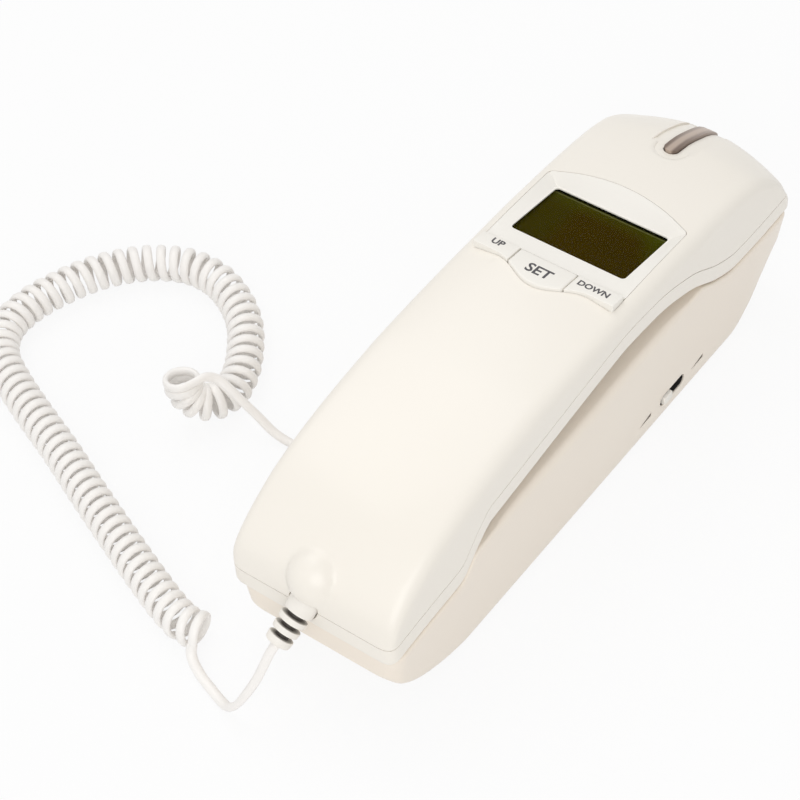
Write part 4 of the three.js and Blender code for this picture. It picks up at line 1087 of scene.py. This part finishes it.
def makeBaseShell():
    shell = baseSkin(0)
    carve(shell, baseSkin(baseForm["wall"]))
    thick, gap = capForm["pocketWall"], capForm["pocketGap"]
    for cap in caps:
        y, radius, low = fromMouth(cap["distance"]), cap["radius"], cap["low"]
        wall = drum(radius + thick, low - thick, 50, 0, y, 96)
        carve(wall, baseSkin(0), "INTERSECT")
        carve(shell, wall, "UNION")
        carve(shell, drum(radius + gap, low - gap, 70, 0, y, 96))
    plateLength = length - plateFromMouth - plateFromEar
    plateY = (fromMouth(plateFromMouth) + fromEar(plateFromEar)) / 2
    recess = roundedBox(baseForm["plateWidth"] + 2 * phone["fitGap"], plateLength + 2 * phone["fitGap"],
                        baseForm["plateCorner"], (0, plateY))
    carve(shell, plateFrom(recess, -1, baseForm["plateRecess"]))
    carve(shell, drum(baseForm["hookHole"], 20, 60, 0, baseForm["hookY"], 32))
    carve(shell, socketTool(sockets["handsetY"]))
    carve(shell, socketTool(sockets["lineY"]))
    carve(shell, ringerSlot(0, -4, 4))
    for side in (1, -1):
        carve(shell, ringerMark(side, 0, -2.1, 3))
    place(settle(shell, "baseShell", baseWhite), "base", "base", "base_cradle")


makeBaseShell()
print("base moulded")


# What is hollowed over the window: faces that slope from its edge up to the skin of the shell.
def bezelHollow():
    w, l = display["windowWidth"] / 2 + display["land"], display["windowLength"] / 2 + display["land"]
    outer = display["width"] / 2
    corners = [(w, -l), (w, l), (-w, l), (-w, -l), (w, -l)]
    outerCorners = [(outer, bezelLow), (outer, bezelTop), (-outer, bezelTop), (-outer, bezelLow),
                    (outer, bezelLow)]
    steps = 16
    rings = [[], [], [], []]
    for side in range(4):
        for i in range(steps):
            share = i / steps
            near = Vector(corners[side]).lerp(Vector(corners[side + 1]), share)
            far = Vector(outerCorners[side]).lerp(Vector(outerCorners[side + 1]), share)
            if side == 1:
                far.y = topEdge(far.x, outer)
            rise = 0 if side == 3 else max(0, skinHeight(far.x, far.y, displayPlane) - 0.05)
            away = near.lerp(far, 1.5)
            rings[0].append((near.x, near.y, 0))
            rings[1].append((far.x, far.y, rise))
            rings[2].append((away.x, away.y, rise * 1.5))
            rings[3].append((away.x, away.y, 16))
    return drawSkin([[displayPlane @ Vector(point) for point in ring] for ring in rings])


def makeBezel():
    bezel = plateFrom(panelOutline(0), -display["depth"], 12, displayPlane)
    carve(bezel, copyOf(handsetOuter), "INTERSECT")
    carve(bezel, bezelHollow())
    width, size, corner = display["windowWidth"], display["windowLength"], display["windowCorner"]
    carve(bezel, plateFrom(roundedBox(width, size, corner), -display["depth"] - 1, 2, displayPlane))
    pocket = 2 * display["windowHide"] + 0.6
    carve(bezel, plateFrom(roundedBox(width + pocket, size + pocket, 1), -display["depth"] - 1,
                           -display["lip"], displayPlane))
    place(settle(bezel, "displayBezel", bezelWhite, 12), "handset", "shell", "display_bezel")


def makeDisplay():
    outline = roundedBox(display["windowWidth"] + 2 * display["windowHide"],
                         display["windowLength"] + 2 * display["windowHide"], 1)
    high = -display["lip"] - 0.03
    low = high - display["windowThickness"]
    window = plateFrom(outline, low, high, displayPlane)
    glass = plateFrom(outline, low - display["glassThickness"], low - 0.03, displayPlane)
    bevelEdges(window, 0.12, 2, 60)
    bevelEdges(glass, 0.12, 2, 60)
    place(settle(window, "displayWindow", windowClear), "handset", "window", "display_window")
    place(settle(glass, "displayGlass", lcdGreen), "handset", "lcd", "lcd_module")


def displayKey(left, right):
    outline = [(left, keyRowTop), (left, keyEdge(left))]
    for i in range(1, 40):
        x = left + (right - left) * i / 40
        outline.append((x, keyEdge(x)))
    outline += [(right, keyEdge(right)), (right, keyRowTop)]
    return plateFrom(outline, display["keyLow"], display["keyProud"], displayPlane)


def makeDisplayKeys():
    left, right = display["setEnds"]
    gap = display["keyGap"]
    outer = display["width"] / 2
    for name, start, end in (("up", -outer, left - gap), ("set", left, right), ("down", right + gap, outer)):
        key = displayKey(start, end)
        bevelEdges(key, 0.55, 4, 50)
        place(settle(key, name + "Key", keyWhite), name + "_key_body", "key", name + "_key")


legends = {
    "UP": {"body": "up_key_body", "x": -17.7, "y": -21.2, "size": 3.4, "weight": 0.03},
    "SET": {"body": "set_key_body", "x": -1.0, "y": -24.9, "size": 5.4, "weight": 0.02},
    "DOWN": {"body": "down_key_body", "x": 15.6, "y": -21.8, "size": 3.1, "weight": 0.03},
}


def printLegend(word, size, x, y, plane, height, body, name, weight):
    clearSelection()
    bpy.ops.object.text_add()
    text = bpy.context.object
    text.data.body = word
    text.data.align_x = "CENTER"
    text.data.align_y = "CENTER"
    text.data.size = size
    text.data.offset = weight * size
    text.data.extrude = 0.03
    text.data.resolution_u = 3
    bpy.ops.object.convert(target="MESH")
    ink = bpy.context.object
    inEdit(ink)
    bpy.ops.mesh.select_all(action="SELECT")
    bpy.ops.mesh.remove_doubles(threshold=0.0005)
    turnOutwards()
    ink.matrix_world = Matrix.Scale(mm, 4) @ plane @ Matrix.Translation((x, y, height))
    place(settle(ink, name, legendInk), body, "dark")


makeBezel()
makeDisplay()
makeDisplayKeys()
for word, values in legends.items():
    printLegend(word, values["size"], values["x"], values["y"], displayPlane, display["keyProud"] + 0.01,
                values["body"], "legend" + word.capitalize(), values["weight"])
print("display and its keys made")


def makeLens():
    column = lampColumn(0)
    carve(column, handsetSkin(lamp["grooveDepth"] - lamp["proud"]), "INTERSECT")
    carve(column, handsetSkin(lamp["depth"]))
    bevelEdges(column, 0.5, 4, 45)
    place(settle(column, "lampLens", lensPlastic), "handset", "lens", "ring_lamp_lens")


# The lamp's lens: a brownish tint in lengthwise streaks, paler towards the ear end, with painted shade
# darkening both long edges.
def tintedPlastic(name):
    def build(tree):
        where = tree.where()
        stretch = tree.node("ShaderNodeMapping", None, {"Vector": where, "Scale": (500, 25, 100)})
        streak = tree.noise(stretch, 1.0, 3.0)
        x, y = tree.axis(where, 0), tree.axis(where, 1)
        towardsEar = tree.smooth(y, (lampY - 14) * mm, (lampY + 16) * mm)
        # Painted shade: darker along both long edges, where the groove round the lens shades it.
        rim = tree.smooth(x.maths("ABSOLUTE", x, 0.0), 0.5 * mm, 1.6 * mm)
        shade = tree.mix(streak, (0.55, 0.45, 0.37), (0.40, 0.31, 0.255))
        shade = tree.mix(rim * 0.85, shade, (0.13, 0.088, 0.068))
        return tree.surface(
            Base_Color=tree.mix(towardsEar * 0.6, shade, (0.66, 0.56, 0.49)),
            Roughness=streak * 0.1 + 0.33,
            Specular_IOR_Level=0.3)
    return newMaterial(name, build)


lensPlastic = tintedPlastic("lensPlastic")
makeLens()


# The cord's boot: pale vinyl, with painted shade darkening the walls and floors of its slots.
def bootFinish(name):
    def build(tree):
        where = tree.where()
        along = tree.node("ShaderNodeVectorMath", {"operation": "DOT_PRODUCT"},
                          {0: where, 1: tuple(bootWay)}, 1) - bootWay.dot(bootCentre) * mm
        # Painted shade: each slot is coloured near black where shade falls inside it.
        slotShade = 0.0
        for i in range(boot["grooves"]):
            low = boot["start"] + boot["firstGroove"] + boot["groovePitch"] * i
            high = low + boot["grooveWidth"]
            slotShade = tree.band(along, (low + 0.02) * mm, (high - 0.02) * mm, 0.06 * mm) + slotShade
        cloud = tree.noise(where, 60.0)
        return tree.surface(
            Base_Color=tree.mix(slotShade, tree.mix(cloud, (0.885, 0.85, 0.79), (0.865, 0.825, 0.76)),
                                (0.055, 0.045, 0.038)),
            Roughness=cloud * 0.1 + 0.4,
            Normal=tree.bump(tree.noise(where, 700.0), 0.05))
    return newMaterial(name, build)


# The boot is turned: rings about its axis, drawn in at each slot.
def bootRings():
    def radiusAt(along):
        share = max(0, along) / boot["length"]
        return boot["rootRadius"] + (boot["tipRadius"] - boot["rootRadius"]) * share

    steps = [(-boot["rootLength"], radiusAt(0)), (0, radiusAt(0))]
    for i in range(boot["grooves"]):
        low = boot["firstGroove"] + boot["groovePitch"] * i
        high = low + boot["grooveWidth"]
        steps += [(low + along, radiusAt(low) - deep) for along, deep in boot["grooveEdge"]]
        steps += [(high - along, radiusAt(high) - deep) for along, deep in reversed(boot["grooveEdge"])]
    steps += [(boot["length"] - along, boot["tipRadius"] - deep) for along, deep in boot["tipEdge"]]
    return [[bootPlane @ Vector((x, y, boot["start"] + along)) for x, y in bootCircle(radius)]
            for along, radius in steps]


bootVinyl = bootFinish("bootVinyl")
place(settle(drawSkin(bootRings()), "cordBoot", bootVinyl, 40), "handset", "boot", "cord_boot")
print("boot and lamp made")


def keypadKey(size, corner):
    cap = plateFrom(roundedBox(keypad["keyWidth"], size, corner), -keypad["proud"], keypad["flangeLow"] + 0.2,
                    keypadPlane)
    bevelEdges(cap, 0.6, 4, 60)
    flange = plateFrom(roundedBox(keypad["keyWidth"] + 2 * keypad["flange"], size + 2 * keypad["flange"],
                                  corner + keypad["flange"]),
                       keypad["flangeLow"], keypad["flangeLow"] + keypad["flangeThickness"], keypadPlane)
    carve(cap, flange, "UNION")
    return cap


def makeKeypad():
    models = {keypad["keyLength"]: keypadKey(keypad["keyLength"], keypad["corner"]),
              keypad["functionLength"]: keypadKey(keypad["functionLength"], keypad["corner"] - 0.6)}
    signs = {"star": "*", "hash": "#"}
    facing = keypadPlane @ Matrix.Rotation(math.pi, 4, "Y")
    for node, face, size, x, y in keyPlaces():
        key = copyOf(models[size])
        key.location = keypadPlane.to_3x3() @ Vector((x, y, 0)) * mm
        isFunction = face == node
        name = face.replace("_key", "Key") if isFunction else "keypadKey" + face.capitalize()
        place(settle(key, name, functionGrey if isFunction else keyWhite), node + "_body", "key", node)
        if not isFunction:
            sign = signs.get(face, face)
            lower = keypad["starDrop"] if face == "star" else 0
            printLegend(sign, keypad["legendSize"], -x, y - lower, facing, keypad["proud"] + 0.01,
                        node + "_body", "digit" + face.capitalize(), keypad["legendWeight"])
    for model in models.values():
        bpy.data.objects.remove(model)


def sizesOf(node):
    low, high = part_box(node)
    return low / mm, high / mm


def makeScrew(node, name):
    low, high = sizesOf(node)
    x, y = (low.x + high.x) / 2, (low.y + high.y) / 2
    radius = (high.x - low.x) / 2
    screw = drum(radius, low.z, low.z + 1.7, x, y, 40)
    bevelEdges(screw, 0.35, 3, 60)
    carve(screw, drum(radius * 0.5, low.z + 1.2, high.z, x, y, 24), "UNION")
    for sizes in ((radius * 1.25, 0.8, 2.0), (0.8, radius * 1.25, 2.0)):
        carve(screw, box(sizes, (x, y, low.z)))
    place(settle(screw, name, screwSteel), frame["nodes"][node]["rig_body"], "steel", node)


# A foot is a pad with a rounded rim and a shallow dish on its sole.
def makeFoot(node, name):
    low, high = sizesOf(node)
    radius = (high.x - low.x) / 2
    foot = drum(radius, low.z, high.z, (low.x + high.x) / 2, (low.y + high.y) / 2, 48)
    inEdit(foot)
    mesh = bmesh.from_edit_mesh(foot.data)
    for face in mesh.faces:
        face.select = face.normal.z < -0.9
    bpy.ops.mesh.inset(thickness=radius * 0.35 * mm)
    bpy.ops.transform.translate(value=(0, 0, 0.2 * mm))
    outOfEdit()
    bevelEdges(foot, 0.15, 3, 50)
    place(settle(foot, name, footRubber), frame["nodes"][node]["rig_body"], "foot", node)


# A copy of a plain solid with its edges rounded, in its own finish.
def softened(node, name, material, slot, width):
    solid = frame["nodes"][node]
    piece = bpy.data.objects.new(name, solid.data.copy())
    bpy.context.collection.objects.link(piece)
    inEdit(piece)
    bpy.ops.mesh.select_all(action="SELECT")
    bpy.ops.mesh.remove_doubles(threshold=0.00001)
    bpy.ops.mesh.dissolve_limited(angle_limit=math.radians(1))
    turnOutwards()
    bevelEdges(piece, width, 3, 35)
    place(settle(piece, name, material), solid["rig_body"], slot, node)


# A black sleeve in the ringer's slot, and dark inlays in the wedges beside it: painted shade for the shadow
# inside the engraved wedges.
def makeRinger():
    sleeve = ringerSlot(0.02, -4.4, -1.8)
    carve(sleeve, ringerSlot(0.6, -5, 1))
    place(settle(sleeve, "ringerSleeve", darkPlastic), "base", "dark")
    for side, name in ((1, "ringerMarkLoud"), (-1, "ringerMarkQuiet")):
        inlay = ringerMark(side, 0.15, -2.5, -1.5)
        place(settle(inlay, name, markShade), "base", "dark")


makeKeypad()
for i in (1, 2):
    makeScrew(f"base_screw_{i}", f"baseScrew{i}")
    makeScrew(f"handset_screw_{i}", f"handsetScrew{i}")
for i in range(1, 5):
    makeFoot(f"foot_{i}", f"foot{i}")
makeRinger()
softened("base_plate", "basePlate", platePlastic, "plate", 0.3)
softened("hook_plunger", "hookPlunger", keyWhite, "key", 0.4)
softened("ringer_slider", "ringerKnob", keyWhite, "key", 0.3)
softened("cord_plug", "cordPlug", plugClear, "plug", 0.2)
softened("handset_jack", "handsetJack", innerPlastic, "inner", 0.2)
softened("line_jack", "lineJack", innerPlastic, "inner", 0.2)
print("keypad and small parts made")

plainSolids = [
    (boardGreen, "base_board display_board handset_board"),
    (ballastSteel, "ballast_bar"),
    (darkPlastic, "sounder hook_switch ringer_switch receiver_capsule microphone_capsule"),
    (keyMat, "keypad_mat"),
    (ledRed, "ring_lamp_led"),
]
for material, nodes in plainSolids:
    for node in nodes.split():
        solid = frame["nodes"][node]
        solid.data.materials.clear()
        solid.data.materials.append(material)
print("inner solids finished")

# The cord lies on the table: its route is given as listed points, its curls are worked out.
cord = {
    "coilRadius": 5.0,
    "curls": 70,
    "phase": 1.9,
    "crowding": 0.38,       # curls stand closer at the upturned end
    "stepsPerCurl": 22,
    "width": 2.9,
    "leadWidth": 3.1,
    "thickness": 1.9,
    "exitX": -36.3,
    "exitHeight": 9.0,
    "straight": 2.6,        # of a lead's ends
    "meetGap": 2.5,         # from the base's lead to the first curl
    "tail": (0.8, 1.6),     # past the last curl
    "tailGap": 0.02,
    "bootGap": 0.3,
    "leadSteps": 90,
    "handsetSteps": 80,
    "turnSteps": 24,        # over which the lead's broad side turns to the coil's
    "widenSteps": 20,
    "easeReach": 6,
}
plugY = sockets["handsetY"]
coilRoute = [
    (-94.8, -47.6, 18.6), (-93.9, -47.8, 13.4), (-91.2, -46.2, 9), (-87.9, -42, 6.8), (-86.7, -35.6, 6.2),
    (-89, -27.8, 6.2), (-94.2, -19.2, 6.2), (-101.2, -11, 6.2), (-110.2, -4.8, 6.2), (-121, -0.9, 6.2),
    (-132, -1.3, 6.2), (-142.2, -6.2, 6.2), (-150, -13.2, 6.2), (-156, -21.6, 6.2), (-160.6, -32, 6.2),
    (-163.6, -43.4, 6.2), (-163, -54.6, 6.2), (-157, -63.8, 6.2), (-147, -69.8, 6.2), (-133, -76, 6.2),
    (-115, -83.2, 6.2), (-96, -91.5, 6.2), (-77, -99.5, 6.2), (-59, -106.8, 6.2), (-48, -110.8, 6.2),
    (-41.5, -112.3, 6.2), (-35.5, -111.8, 6.2),
]
baseLeadMiddle = [
    (-45, plugY - 0.5, 7.5), (-52.5, plugY - 1.6, 3.6), (-60, plugY - 2.8, 1.65), (-66.6, plugY - 3.4, 3.2),
    (-72.4, plugY - 3.5, 7), (-77.2, plugY - 4, 11), (-81.6, plugY - 4.6, 15), (-85.8, plugY - 5.8, 18.4),
]
handsetLeadMiddle = [
    (-32.6, -119.8, 3), (-28.6, -121.6, 1.6), (-24, -123.2, 1.4), (-19.4, -124.8, 1.6), (-15.4, -126.2, 3),
    (-11.8, -126.7, 6.6), (-8.8, -125.1, 11.8), (-6.6, -121.6, 17.4),
]


# Curve through the route's points, as a function of the share of its length.
def smoothRoute(points):
    points = [Vector(point) for point in points]
    ends = [2 * points[0] - points[1]] + points + [2 * points[-1] - points[-2]]
    fine = []
    for i in range(1, len(ends) - 2):
        p0, p1, p2, p3 = ends[i - 1:i + 3]
        d0, d1, d2 = (max((b - a).length ** 0.5, 1e-6) for a, b in ((p0, p1), (p1, p2), (p2, p3)))
        t1 = ((p1 - p0) / d0 - (p2 - p0) / (d0 + d1) + (p2 - p1) / d1) * d1
        t2 = ((p2 - p1) / d1 - (p3 - p1) / (d1 + d2) + (p3 - p2) / d2) * d1
        for k in range(40):
            t = k / 40
            fine.append((2 * t ** 3 - 3 * t ** 2 + 1) * p1 + (t ** 3 - 2 * t ** 2 + t) * t1
                        + (3 * t ** 2 - 2 * t ** 3) * p2 + (t ** 3 - t ** 2) * t2)
    fine.append(points[-1])
    reach = [0.0]
    for a, b in zip(fine, fine[1:]):
        reach.append(reach[-1] + (b - a).length)

    def at(share):
        wanted = share * reach[-1]
        low, high = 0, len(reach) - 1
        while high - low > 1:
            middle = (low + high) // 2
            low, high = (middle, high) if reach[middle] <= wanted else (low, middle)
        part = (wanted - reach[low]) / max(reach[high] - reach[low], 1e-9)
        return fine[low].lerp(fine[high], part)

    return at


def evenPoints(points, count):
    at = smoothRoute(points)
    return [at(i / count) for i in range(count + 1)]


def alongOf(points, i):
    return (points[min(len(points) - 1, i + 1)] - points[max(0, i - 1)]).normalized()


# The middle of the coiled cord, and at each point the way that its broad side faces along.
def coilCentres():
    at = smoothRoute(coilRoute)
    steps = cord["curls"] * cord["stepsPerCurl"]
    radius = cord["coilRadius"]
    axis = []
    for i in range(steps + 1):
        share = i / steps
        axis.append(at(min(1.0, share - cord["crowding"] * share * (1 - share) ** 8)))
    centres = []
    broad = []
    side = Vector((0, 1, 0))
    for i, point in enumerate(axis):
        along = alongOf(axis, i)
        side = (side - along * side.dot(along)).normalized()
        lift = along.cross(side)
        angle = cord["phase"] + 2 * math.pi * i / cord["stepsPerCurl"]
        centres.append(point + side * radius * math.cos(angle) + lift * radius * math.sin(angle))
        broad.append(along)
    return centres, broad


# Flat cord drawn over its centre line; its broad side follows the ways given, eased where they change.
def drawRibbon(name, centres, broad, widths):
    outline = roundedBox(1, 1, 0.42, steps=2)
    points = []
    before = None
    for i, centre in enumerate(centres):
        along = alongOf(centres, i)
        across = broad[i] - along * broad[i].dot(along)
        across.normalize()
        if before and across.dot(before) < 0:
            across = -across
        before = across
        over = along.cross(across)
        for x, y in outline:
            points.append((centre + across * x * widths[i] + over * y * cord["thickness"]) * mm)
    count = len(outline)
    faces = [list(range(count))[::-1], [len(points) - count + k for k in range(count)]]
    for i in range(len(centres) - 1):
        for k in range(count):
            a, b = i * count + k, i * count + (k + 1) % count
            faces.append((a, b, b + count, a + count))
    mesh = bpy.data.meshes.new(name)
    mesh.from_pydata(points, [], faces)
    piece = bpy.data.objects.new(name, mesh)
    bpy.context.collection.objects.link(piece)
    inEdit(piece)
    turnOutwards()
    return settle(piece, name, cordVinyl, 50)


def easedWays(ways, reach):
    eased = []
    for i in range(len(ways)):
        total = Vector()
        for k in range(max(0, i - reach), min(len(ways), i + reach + 1)):
            total += ways[k]
        eased.append(total.normalized() if total.length > 1e-6 else ways[i])
    return eased


def levelWays(centres):
    ways = []
    for i in range(len(centres)):
        along = alongOf(centres, i)
        level = Vector((-along.y, along.x, 0))
        ways.append(level.normalized() if level.length > 0.05 else ways[-1])
    return ways


def declareCord(centres):
    path = [centre * mm for centre in centres]
    total = sum((b - a).length for a, b in zip(path, path[1:]))
    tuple(path[0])


# The base's lead and the coil are one cord. What comes back is where it ends, and which way.
def makeCurlyCord():
    curls, curlWays = coilCentres()
    startWay = (curls[0] - curls[1]).normalized()
    meet = curls[0] + startWay * cord["meetGap"]
    leadRoute = [(cord["exitX"] - step, plugY, cord["exitHeight"]) for step in (0, cord["straight"])]
    leadRoute += baseLeadMiddle + [meet + startWay * cord["straight"], meet, curls[0]]
    lead = evenPoints(leadRoute, cord["leadSteps"])[:-1]
    leadWays = levelWays(lead)
    if leadWays[-1].dot(curlWays[0]) < 0:
        leadWays = [-way for way in leadWays]
    turning = cord["turnSteps"]
    for k in range(turning):
        share = (k + 1) / turning
        eased = share * share * (3 - 2 * share)
        i = len(lead) - turning + k
        leadWays[i] = leadWays[i].lerp(curlWays[0], eased)
    endWay = (curls[-1] - curls[-2]).normalized()
    tail = [curls[-1] + endWay * step for step in cord["tail"]]
    centres = lead + curls + tail
    ways = leadWays + curlWays + [curlWays[-1]] * len(tail)
    widths = []
    for i in range(len(centres)):
        share = min(1, max(0, (i - len(lead)) / cord["widenSteps"] + 1))
        widths.append(cord["leadWidth"] + (cord["width"] - cord["leadWidth"]) * share)
    ribbon = drawRibbon("curlyCord", centres, ways, widths)
    place(ribbon, "base", "cord", "base_lead", "curly_cord")
    declareCord(centres)
    return tail[-1], endWay


# Drawn from the boot to the coil.
def makeHandsetLead(coilEnd, coilWay):
    tip = bootCentre + bootWay * (boot["start"] + boot["length"] + cord["bootGap"])
    begin = coilEnd + coilWay * cord["tailGap"]
    route = [begin, begin + coilWay * cord["straight"]] + handsetLeadMiddle
    route += [tip + bootWay * cord["straight"], tip]
    centres = evenPoints(route, cord["handsetSteps"])[::-1]
    ways = easedWays(levelWays(centres), cord["easeReach"])
    ribbon = drawRibbon("handsetLead", centres, ways, [cord["leadWidth"]] * len(centres))
    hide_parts("handset_lead")
    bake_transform(ribbon)
    declareCord(centres)


makeHandsetLead(*makeCurlyCord())
print("cords laid")
bpy.data.objects.remove(handsetOuter)
bpy.data.objects.remove(handsetWhole)

# Light stands round the phone at the level at which a colour looks as it is written.
studio = {
    "floorSize": 6.0,
    "floorColour": (0.86, 0.86, 0.86),
    "skyStrength": 0.65,
    "whiteShare": 0.88,
    "aim": (0, 0, 0.03),
    "lamps": [
        {"name": "keyLamp", "place": (-0.55, 0.25, 1.1), "size": 0.9, "watts": 3.7},
        {"name": "frontLamp", "place": (0.45, -0.8, 0.7), "size": 0.8, "watts": 4.0},
    ],
}


def makeFloor():
    clearSelection()
    bpy.ops.mesh.primitive_plane_add(size=studio["floorSize"])
    floor = bpy.context.object
    floor.name = "floor"

    def build(tree):
        grain = tree.noise(tree.where(), 30.0)
        shade = tree.mix(grain, studio["floorColour"], [value * 0.98 for value in studio["floorColour"]])
        paper = tree.surface(Base_Color=shade, Roughness=0.9)
        glow = tree.node("ShaderNodeEmission", None, {"Color": (1, 1, 1, 1), "Strength": 1.0})
        white = tree.seen() * studio["whiteShare"]
        return tree.node("ShaderNodeMixShader", None, {0: white, 1: paper, 2: glow})

    floor.data.materials.append(newMaterial("floorPaper", build))


def makeSky():
    world = bpy.data.worlds.new("studio")
    world.use_nodes = True
    bpy.context.scene.world = world
    tree = Tree(world.node_tree)
    white = (1, 1, 1, 1)
    soft = tree.node("ShaderNodeBackground", None, {"Color": white, "Strength": studio["skyStrength"]})
    plain = tree.node("ShaderNodeBackground", None, {"Color": white, "Strength": 1.0})
    mixed = tree.node("ShaderNodeMixShader", None, {0: tree.seen(), 1: soft, 2: plain})
    tree.node("ShaderNodeOutputWorld", None, {"Surface": mixed})


def makeLamps():
    for values in studio["lamps"]:
        bpy.ops.object.light_add(type="AREA", location=values["place"])
        light = bpy.context.object
        light.name = values["name"]
        light.data.size = values["size"]
        light.data.energy = values["watts"]
        aim = Vector(studio["aim"]) - Vector(values["place"])
        light.rotation_euler = aim.to_track_quat("-Z", "Y").to_euler()


makeFloor()
makeSky()
makeLamps()
bpy.context.scene.view_settings.view_transform = "Standard"
print("studio set")
